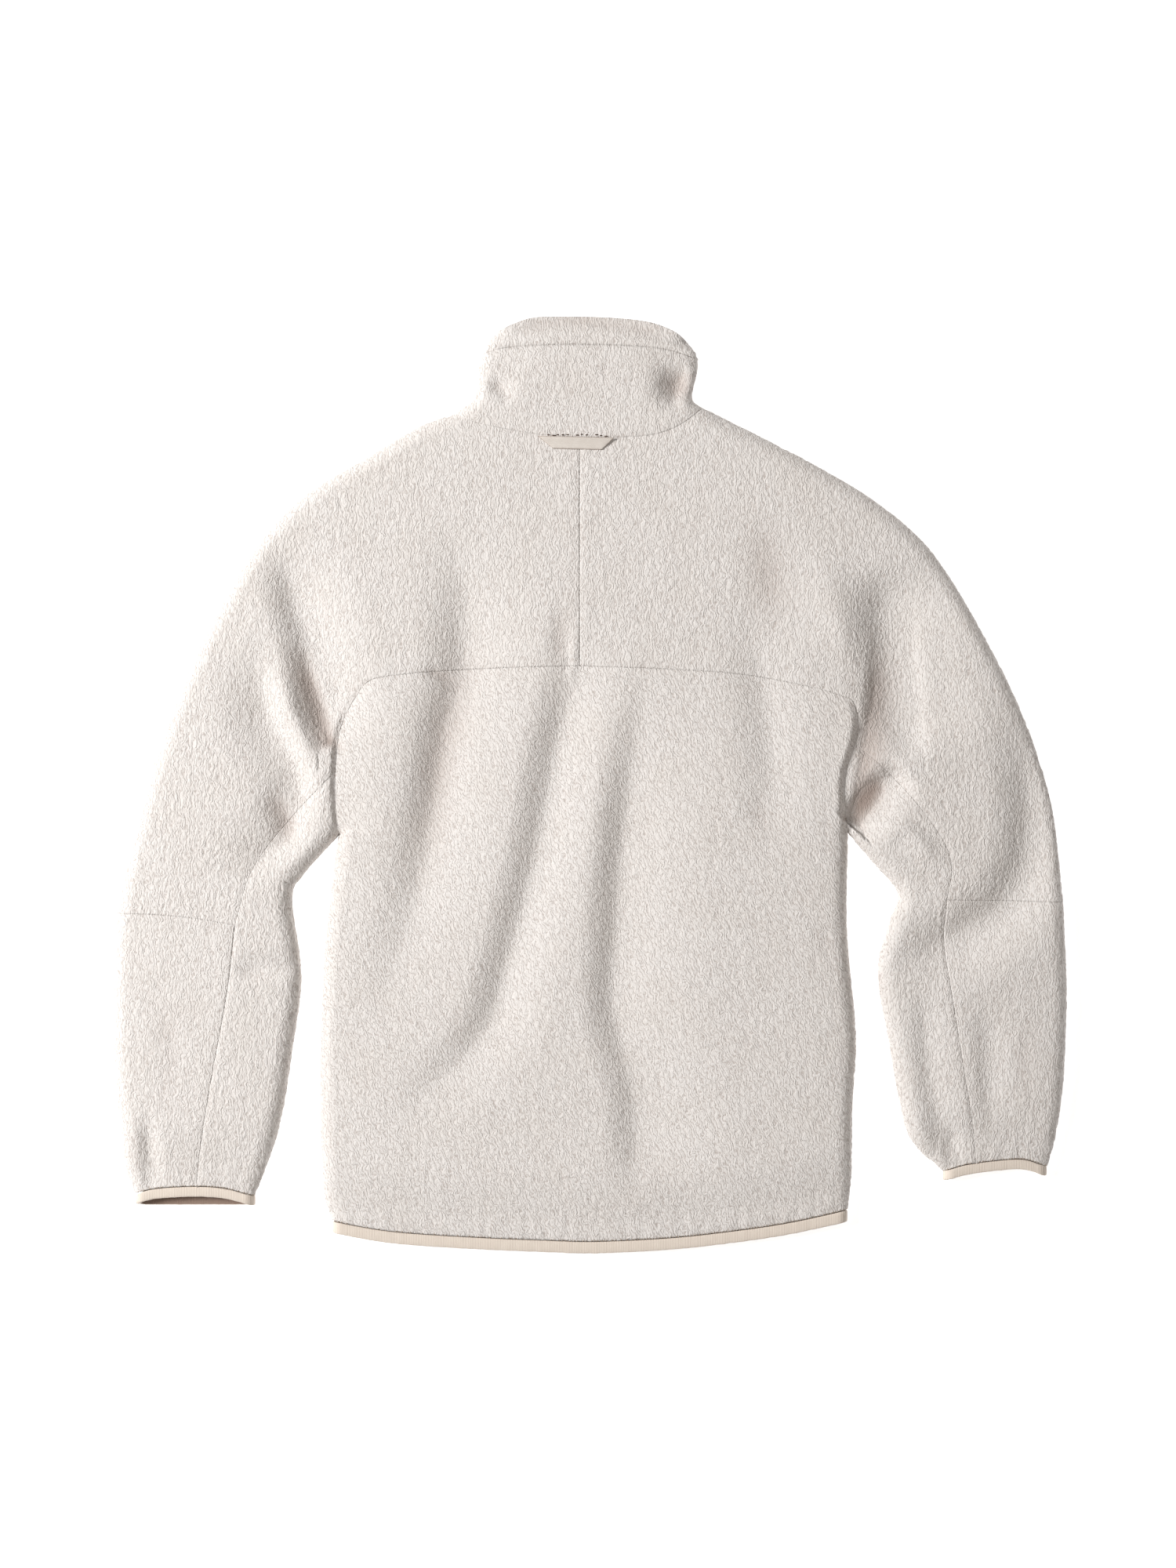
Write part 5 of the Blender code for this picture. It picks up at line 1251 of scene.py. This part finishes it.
class FleeceSettings(bpy.types.PropertyGroup):
    """Sizes and colours of the sherpa fleece."""

    wall: metres("Wall", "Thickness of the knit with its pile", 0.006)
    back_step: metres("Back step", "Grid step of the panels on show", 0.0017)
    front_step: metres("Front step", "Grid step of the panels below", 0.0032)
    curl_width: metres("Curl width", "Pitch of the curls across the nap", 0.0046)
    curl_length: metres("Curl length", "Pitch of the curls along the nap", 0.0064)
    curl_height: metres("Curl height", "Height of the curls over the pits", 0.0009)
    edge_fuzz: FloatProperty(name="Edge fuzz", description="Extra height of the curls at the outline",
                             default=0.8)
    clump_size: metres("Clump size", "Size of the pile's uneven clumps", 0.024)
    strand_pitch: metres("Strand pitch", "Pitch of the fine strands of pile", 0.0031)
    strand_height: metres("Strand height", "Height of the fine strands", 0.00042)
    fold_share: FloatProperty(name="Fold share", description="Extra depth of the folds in the pile",
                              default=0.30)
    seam_depth: metres("Seam depth", "Depth of the dent along a seam", 0.0008)
    seam_width: metres("Seam width", "Half width of the dent along a seam", 0.0036)
    gather_height: metres("Gather height", "Height of the elastic's gathers", 0.0003)
    gather_reach: metres("Gather reach", "How far up the gathers fade out", 0.045)
    tip_colour: tint("Tip colour", "Colour of the curls", (0.79, 0.752, 0.722))
    warm_colour: tint("Warm colour", "Colour of the warmer blotches", (0.765, 0.722, 0.685))
    shade_colour: tint("Shade colour", "Colour between fine curls", (0.52, 0.465, 0.43))
    pit_colour: tint("Pit colour", "Colour deep in the pile", (0.69, 0.64, 0.61))
    # Painted shade: the dark colour that stands for the shade deep in a crease.
    crease_shade_colour: tint("Crease colour", "Colour deep in a crease", (0.40, 0.32, 0.28))


class TrimSettings(bpy.types.PropertyGroup):
    """Sizes and colours of the bindings, the hanger loop and the zip."""

    binding_thickness: metres("Binding thickness", "Folded elastic's thickness", 0.005)
    binding_inset: metres("Binding inset", "Middle of the elastic below the cloth's face", 0.003)
    front_binding_height: metres("Front binding height", "Middle of the elastic's lower run above "
                                 "the surface", 0.0031)
    binding_gap: metres("Binding gap", "Gap between the cloth and its binding", 0.0006)
    binding_step: metres("Binding step", "Grid step along the bindings", 0.0014)
    hem_width: metres("Hem width", "Width of the hem's binding", 0.0105)
    cuff_width: metres("Cuff width", "Width of the cuffs' bindings", 0.009)
    binding_colour: tint("Binding colour", "Colour of the elastic", (0.78, 0.69, 0.60))
    binding_shade: tint("Binding shade", "Colour between its ribs", (0.60, 0.50, 0.42))
    # Painted shade: the dark of the shadowed opening inside the cuffs and hem, and of the hanger loop's
    # border.
    painted_shade_colour: tint("Inside colour", "Colour of the elastic's inner face", (0.30, 0.21, 0.165))
    tape_colour: tint("Tape colour", "Colour of the woven tapes", (0.76, 0.70, 0.64))
    tape_shade: tint("Tape shade", "Colour between its threads", (0.62, 0.55, 0.49))
    thread_colour: tint("Thread colour", "Colour of the stitches", (0.42, 0.31, 0.22))
    # Partly the thread's colour, partly painted shadow: the neck's stitches are made darker for the gap
    # above the hanger loop.
    thread_and_gap_shadow_colour: tint("Dark thread colour", "Colour of the neck's thread", (0.12, 0.08, 0.06))
    chain_colour: tint("Chain colour", "Colour of the moulded teeth", (0.76, 0.70, 0.61))
    metal_colour: tint("Metal colour", "Colour of the slider", (0.62, 0.60, 0.57))
    tooth_pitch: metres("Tooth pitch", "Pitch of the teeth on one side", 0.0032)
    stitch_pitch: metres("Stitch pitch", "Pitch of the stitches", 0.0026)


class StageSettings(bpy.types.PropertyGroup):
    """Floor, light and camera."""

    floor_tone: FloatProperty(name="Floor tone", description="Brightness of the floor", default=0.92)
    floor_glow: FloatProperty(name="Floor glow", description="Light that the floor itself gives",
                              default=0.68)
    key_power: FloatProperty(name="Key power", description="Power of the soft light at the upper left",
                             default=146.0, unit="POWER")
    fill_power: FloatProperty(name="Fill power", description="Power of the soft light overhead",
                              default=6.0, unit="POWER")
    sky: FloatProperty(name="Sky", description="Brightness of the surroundings", default=0.262)
    frame_height: FloatProperty(name="Frame height", description="Height of the picture on the jacket",
                                default=1.4, unit="LENGTH")
    camera_height: FloatProperty(name="Camera height", description="Height of the lens over the jacket",
                                 default=2.4, unit="LENGTH")


def both_sides(fleece, *makers):
    """Panels of the left side and then of the right, by the given makers."""
    return [make(side, fleece) for side in SIDES for make in makers]


def lay(panels, fleece):
    """Build panels in their materials, in place of their solids."""
    for panel in panels:
        finish = bpy.data.materials.get(panel.finish) or fleece_material(panel.finish, fleece)
        piece, (length, width, area) = fleece_panel(panel, fleece)
        dress(piece, finish, "jacket", "fleece", panel.node)
    return {"FINISHED"}


class JACKET_OT_back_panel(bpy.types.Operator):
    """Back panel of the body below the yoke."""

    bl_idname = "jacket.back_panel"
    bl_label = "Back panel"

    def execute(self, context):
        """Build the panel."""
        fleece = context.scene.jacket_fleece
        return lay([body_panel(fleece)], fleece)


class JACKET_OT_yokes(bpy.types.Operator):
    """Yoke halves with the upper sleeves."""

    bl_idname = "jacket.yokes"
    bl_label = "Yokes"

    def execute(self, context):
        """Build both halves."""
        fleece = context.scene.jacket_fleece
        return lay(both_sides(fleece, yoke_panel), fleece)


class JACKET_OT_sleeves(bpy.types.Operator):
    """Forearms and under-sleeves on the back of the jacket."""

    bl_idname = "jacket.sleeves"
    bl_label = "Sleeves"

    def execute(self, context):
        """Build the four panels."""
        fleece = context.scene.jacket_fleece
        return lay(both_sides(fleece, forearm_panel, under_sleeve_panel), fleece)


class JACKET_OT_collar(bpy.types.Operator):
    """Stand collar and its band, back and front."""

    bl_idname = "jacket.collar"
    bl_label = "Collar"

    def execute(self, context):
        """Build the six pieces."""
        fleece = context.scene.jacket_fleece
        backs = [collar_panel(fleece), band_panel(fleece)]
        return lay(backs + both_sides(fleece, front_collar_panel, front_band_panel), fleece)


class JACKET_OT_fronts(bpy.types.Operator):
    """Fronts and the undersides of the sleeves, which lie on the surface."""

    bl_idname = "jacket.fronts"
    bl_label = "Fronts"

    def execute(self, context):
        """Build the four panels."""
        fleece = context.scene.jacket_fleece
        return lay(both_sides(fleece, front_panel) + both_sides(fleece, front_sleeve_panel), fleece)


class JACKET_OT_bindings(bpy.types.Operator):
    """Elastic bindings round the hem and the cuffs."""

    bl_idname = "jacket.bindings"
    bl_label = "Bindings"

    def execute(self, context):
        """Build the three rings."""
        trim = context.scene.jacket_trim
        finish = tape_material("ribbed_elastic", trim.binding_colour, trim.binding_shade,
                               trim.painted_shade_colour, across=210.0, along=0.5)
        hem_opening = (FRONT_EDGES["left"], FRONT_EDGES["right"])
        rings = (("hem_binding", curve("hem_line"), trim.hem_width, hem_opening, 0.0),
                 ("cuff_binding_left", curve("cuff_line_left"), trim.cuff_width, None, 1.0),
                 ("cuff_binding_right", curve("cuff_line_right"), trim.cuff_width, None, 0.0))
        for node, path, width, opening, droop in rings:
            points, inside, length = binding_ring(path, trim, opening, width, droop)
            piece = swept("elastic_" + node, points, opening is None)
            # The inner face inside the opening is painted in shade.
            give_values(piece, "inside", inside)
            dress(piece, finish, "jacket", "binding", node)
        return {"FINISHED"}


class JACKET_OT_hanger_loop(bpy.types.Operator):
    """Hanger loop of woven tape below the neck seam."""

    bl_idname = "jacket.hanger_loop"
    bl_label = "Hanger loop"

    def execute(self, context):
        """Lay the tape over its solid, standing off the yoke more towards its upper edge."""
        trim = context.scene.jacket_trim
        low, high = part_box("hanger_loop")
        if high.z - low.z < LOOP_THICKNESS:
            raise RuntimeError("the hanger loop's solid is missing")
        rows, columns = LOOP_GRID
        u = np.linspace(0, 1, rows)[:, None]
        v = np.linspace(0, 1, columns)[None]
        plan = np.linspace(np.linspace(*LOOP_LOWER, rows), np.linspace(*LOOP_UPPER, rows), columns,
                           axis=1)
        base = on_back(plan.reshape(-1, 2)).reshape(rows, columns)
        base += LOOP_LIFT + LOOP_UPPER_LIFT * v + LOOP_BOW * np.sin(np.pi * u) * v ** 2
        round_u, round_v = (1 - (2 * share - 1) ** power
                            for share, power in zip((u, v), LOOP_ROUNDING_POWERS))
        outer = np.dstack((plan, base + LOOP_THICKNESS + LOOP_ROUNDING * round_u * round_v))
        piece = solid_sheet("woven_hanger_loop", outer, np.dstack((plan, base)))
        # Painted shade along the tape's border, for the thin shadow round its edges.
        painted_border_shade = np.zeros((2, rows, columns))
        painted_border_shade[0, [0, -1]] = painted_border_shade[0, :, [0, -1]] = LOOP_BORDER_SHADE
        give_values(piece, "inside", painted_border_shade)
        finish = tape_material("woven_tape", trim.tape_colour, trim.tape_shade, trim.painted_shade_colour,
                               across=420.0, along=300.0)
        dress(piece, finish, "jacket", "tape", "hanger_loop")
        return {"FINISHED"}


class JACKET_OT_stitches(bpy.types.Operator):
    """Stitches over the hem and cuffs, and along the neck above the hanger loop, where the dark
    stitches also stand for the shadow in the gap there.
    """

    bl_idname = "jacket.stitches"
    bl_label = "Stitches"

    def execute(self, context):
        """Lay each run of stitches on the cloth."""
        trim = context.scene.jacket_trim
        brown = plain_material("sewing_thread", trim.thread_colour, roughness=0.7)
        dark = plain_material("dark_thread_and_gap_shadow", trim.thread_and_gap_shadow_colour, roughness=0.8)
        for name, path, chance in (("hem", curve("hem_line"), (0.35, 0.95)),
                                   ("cuff_left", curve("cuff_line_left"), (0.75, 0.75)),
                                   ("cuff_right", curve("cuff_line_right"), (0.75, 0.75))):
            path = path[path[:, 0].argsort()] + STITCH_OFFSET
            run = stitch_run("stitches_" + name, path, pitch=trim.stitch_pitch, share=0.5,
                             radius=0.00032, chance=chance, wander=0.0, seed=51)
            dress(run, brown, "jacket", "binding")
        # Dark thread that also paints the shadow of the gap above the loop.
        run = stitch_run("stitches_neck", np.array(NECK_STITCHES), pitch=0.0042, share=0.8,
                         radius=0.00055, chance=(0.9, 0.9), wander=0.0004, seed=52)
        dress(run, dark, "jacket", "tape")
        return {"FINISHED"}


def stitch_run(name, path, pitch, share, radius, chance, wander, seed):
    """Row of stitches along a plan path: each covers a share of the pitch, and stands with a chance
    that goes from the first value to the second along the row."""
    draw = np.random.default_rng(seed)
    count = int(travelled(path)[-1] / pitch)
    at = (np.arange(count) + 0.5 * (1 - share)) / count
    at = at[draw.random(count) < chance[0] + (chance[1] - chance[0]) * ease(3 * at - 1)]
    length = share * draw.uniform(0.6, 1.0, len(at)) / count
    shift = np.column_stack((np.zeros(len(at)), draw.normal(0, 1, len(at)) * wander))
    ends = [place_along(path, np.clip(where, 0, 1)) + shift for where in (at, at + length)]
    starts, ends = (np.column_stack((end, on_back(end) - STITCH_SINK * radius)) for end in ends)
    return capsules(name, starts, ends, radius)


def solid_sheet(name, outer, inner):
    """Closed mesh of two equal grids, the outer one above, and the rim that joins them."""
    rows, columns = outer.shape[:2]
    index = np.arange(rows * columns).reshape(rows, columns)
    ring = around(index)
    count = rows * columns
    rim = np.column_stack((ring, np.roll(ring, -1), np.roll(ring, -1) + count, ring + count))
    faces = (quads(index), quads(index)[:, ::-1] + count, rim)
    step = (outer[1, 0] - outer[0, 0], outer[0, 1] - outer[0, 0])
    above = (outer - inner).reshape(-1, 3).mean(0)
    if np.dot(np.cross(*step), above) < 0:
        faces = tuple(block[:, ::-1] for block in faces)
    return mesh_piece(name, np.vstack((outer.reshape(-1, 3), inner.reshape(-1, 3))), faces)


class JACKET_OT_zip(bpy.types.Operator):
    """Closing zip at the centre front: tape, moulded teeth, and finishes for slider and tab."""

    bl_idname = "jacket.zip"
    bl_label = "Zip"

    def execute(self, context):
        """Build the tape and the two rows of teeth."""
        trim = context.scene.jacket_trim
        low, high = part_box("zip_tape")
        rows, columns = ZIP_TAPE_GRID
        xs, ys = np.linspace(low.x, high.x, columns)[None], np.linspace(low.y, high.y, rows)[:, None]
        outer, inner = (np.dstack(np.broadcast_arrays(xs, ys, z)) for z in (low.z, high.z))
        tape = solid_sheet("woven_zip_tape", outer, inner)
        finish = tape_material("woven_zip_tape", trim.tape_colour, trim.tape_shade,
                               trim.painted_shade_colour, across=420.0, along=300.0)
        dress(tape, finish, "jacket", "tape", "zip_tape")
        low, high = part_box("zip_chain")
        teeth = zip_teeth(low, high, trim.tooth_pitch)
        plastic = plain_material("moulded_teeth", trim.chain_colour, roughness=0.45)
        dress(teeth, plastic, "jacket", "zip_chain", "zip_chain")
        metal = plain_material("brushed_nickel", trim.metal_colour, roughness=0.34, metallic=1.0,
                               grain=900.0)
        for node in ("zip_slider", "zip_pull_tab"):
            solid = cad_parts[node]
            solid.data.materials.clear()
            solid.data.materials.append(metal)
        return {"FINISHED"}


def zip_teeth(low, high, pitch):
    """Two interlocking rows of teeth: each tooth is a stem and a wider head, as one closed block
    of eight-sided sections along X, and the far row is half a pitch on."""
    count = int((high.y - low.y) / pitch) - 1
    half = (high - low) / 2
    angle = np.linspace(0, 2 * np.pi, TOOTH_SIDES, endpoint=False) + np.pi / TOOTH_SIDES
    ring = squared(np.column_stack((np.cos(angle), np.sin(angle))), TOOTH_SQUARING)
    tooth = np.array([[(x * TOOTH_LENGTH * half.x, width * pitch * TOOTH_WIDTH * y,
                        half.z * TOOTH_HEIGHT * z) for y, z in ring] for x, width in TOOTH_SECTIONS])
    rows = []
    for sign, shift in ((-1, 0.0), (1, 0.5)):
        part = tooth * (-sign, 1, 1) + (sign * half.x * TOOTH_SHIFT, 0, 0)
        places = np.full((count, 3), (CENTRE_FRONT, 0, (high.z + low.z) / 2))
        places[:, 1] = low.y + pitch * (FIRST_TOOTH + shift + np.arange(count))
        rows.append(part[:, ::-sign] + places[:, None, None])
    return tubes("moulded_zip_teeth", np.concatenate(rows))


class JACKET_OT_stage(bpy.types.Operator):
    """Pale floor, soft light from the upper left and the camera straight above."""

    bl_idname = "jacket.stage"
    bl_label = "Stage"

    def execute(self, context):
        """Build the stage."""
        stage = context.scene.jacket_stage
        corners = FLOOR_REACH * np.array(((-1, -1, 0), (1, -1, 0), (1, 1, 0), (-1, 1, 0)))
        floor = mesh_piece("floor", corners, (np.array(((0, 1, 2, 3),)),))
        values = {"Roughness": 0.9, "Base Color": (stage.floor_tone,) * 3 + (1.0,),
                  "Emission Color": (1.0, 1.0, 1.0, 1.0), "Emission Strength": stage.floor_glow}
        floor.data.materials.append(new_material("pale_floor", values))
        area_light("key", stage.key_power)
        area_light("fill", stage.fill_power)
        sky = bpy.data.worlds.new("studio")
        sky.use_nodes = True
        sky.node_tree.nodes["Background"].inputs["Color"].default_value = SKY_COLOUR
        sky.node_tree.nodes["Background"].inputs["Strength"].default_value = stage.sky
        context.scene.world = sky
        context.scene.view_settings.view_transform = "Standard"
        add_camera(stage)
        return {"FINISHED"}


def area_light(name, power):
    """Square soft light that faces a point."""
    place, aim, size = LIGHTS[name]
    lamp = bpy.data.lights.new(name, "AREA")
    lamp.size = size
    lamp.energy = power
    item = bpy.data.objects.new(name, lamp)
    bpy.context.scene.collection.objects.link(item)
    item.location = place
    item.rotation_euler = (Vector(place) - Vector(aim)).to_track_quat("Z", "Y").to_euler()


def add_camera(stage):
    """Camera straight above the point of the jacket that is at the picture's middle."""
    lens = bpy.data.cameras.new("overhead")
    lens.sensor_width = 36.0
    lens.lens = lens.sensor_width * stage.camera_height / stage.frame_height
    item = bpy.data.objects.new("overhead", lens)
    item.location = (*PICTURE_MIDDLE, SIDE_FOLD_HEIGHT + stage.camera_height)
    bpy.context.scene.collection.objects.link(item)
    bpy.context.scene.camera = item


class JACKET_PT_sidebar(bpy.types.Panel):
    """Lists the jacket's pieces and its settings."""

    bl_label = "Fleece Jacket"
    bl_idname = "JACKET_PT_sidebar"
    bl_space_type = "VIEW_3D"
    bl_region_type = "UI"
    bl_category = "Jacket"

    def draw(self, context):
        """Draw a button for each operator and a field for each setting."""
        for operator in OPERATORS:
            self.layout.operator(operator.bl_idname)
        for name, group in GROUPS.items():
            for key in group.__annotations__:
                self.layout.prop(getattr(context.scene, name), key)


OPERATORS = (JACKET_OT_stage, JACKET_OT_back_panel, JACKET_OT_yokes, JACKET_OT_sleeves,
             JACKET_OT_collar, JACKET_OT_fronts, JACKET_OT_bindings, JACKET_OT_hanger_loop,
             JACKET_OT_zip, JACKET_OT_stitches)
GROUPS = {"jacket_fleece": FleeceSettings, "jacket_trim": TrimSettings,
          "jacket_stage": StageSettings}


def register():
    """Register the classes and hang the settings on the scene."""
    for item in (*GROUPS.values(), *OPERATORS, JACKET_PT_sidebar):
        bpy.utils.register_class(item)
    for name, group in GROUPS.items():
        setattr(bpy.types.Scene, name, PointerProperty(type=group))


def unregister():
    """Take the settings off the scene and unregister the classes."""
    for name in GROUPS:
        delattr(bpy.types.Scene, name)
    for item in reversed((*GROUPS.values(), *OPERATORS, JACKET_PT_sidebar)):
        bpy.utils.unregister_class(item)


def main():
    """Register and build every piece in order."""
    register()
    for operator in OPERATORS:
        group, name = operator.bl_idname.split(".")
        getattr(getattr(bpy.ops, group), name)()


if __name__ == "__main__":
    main()
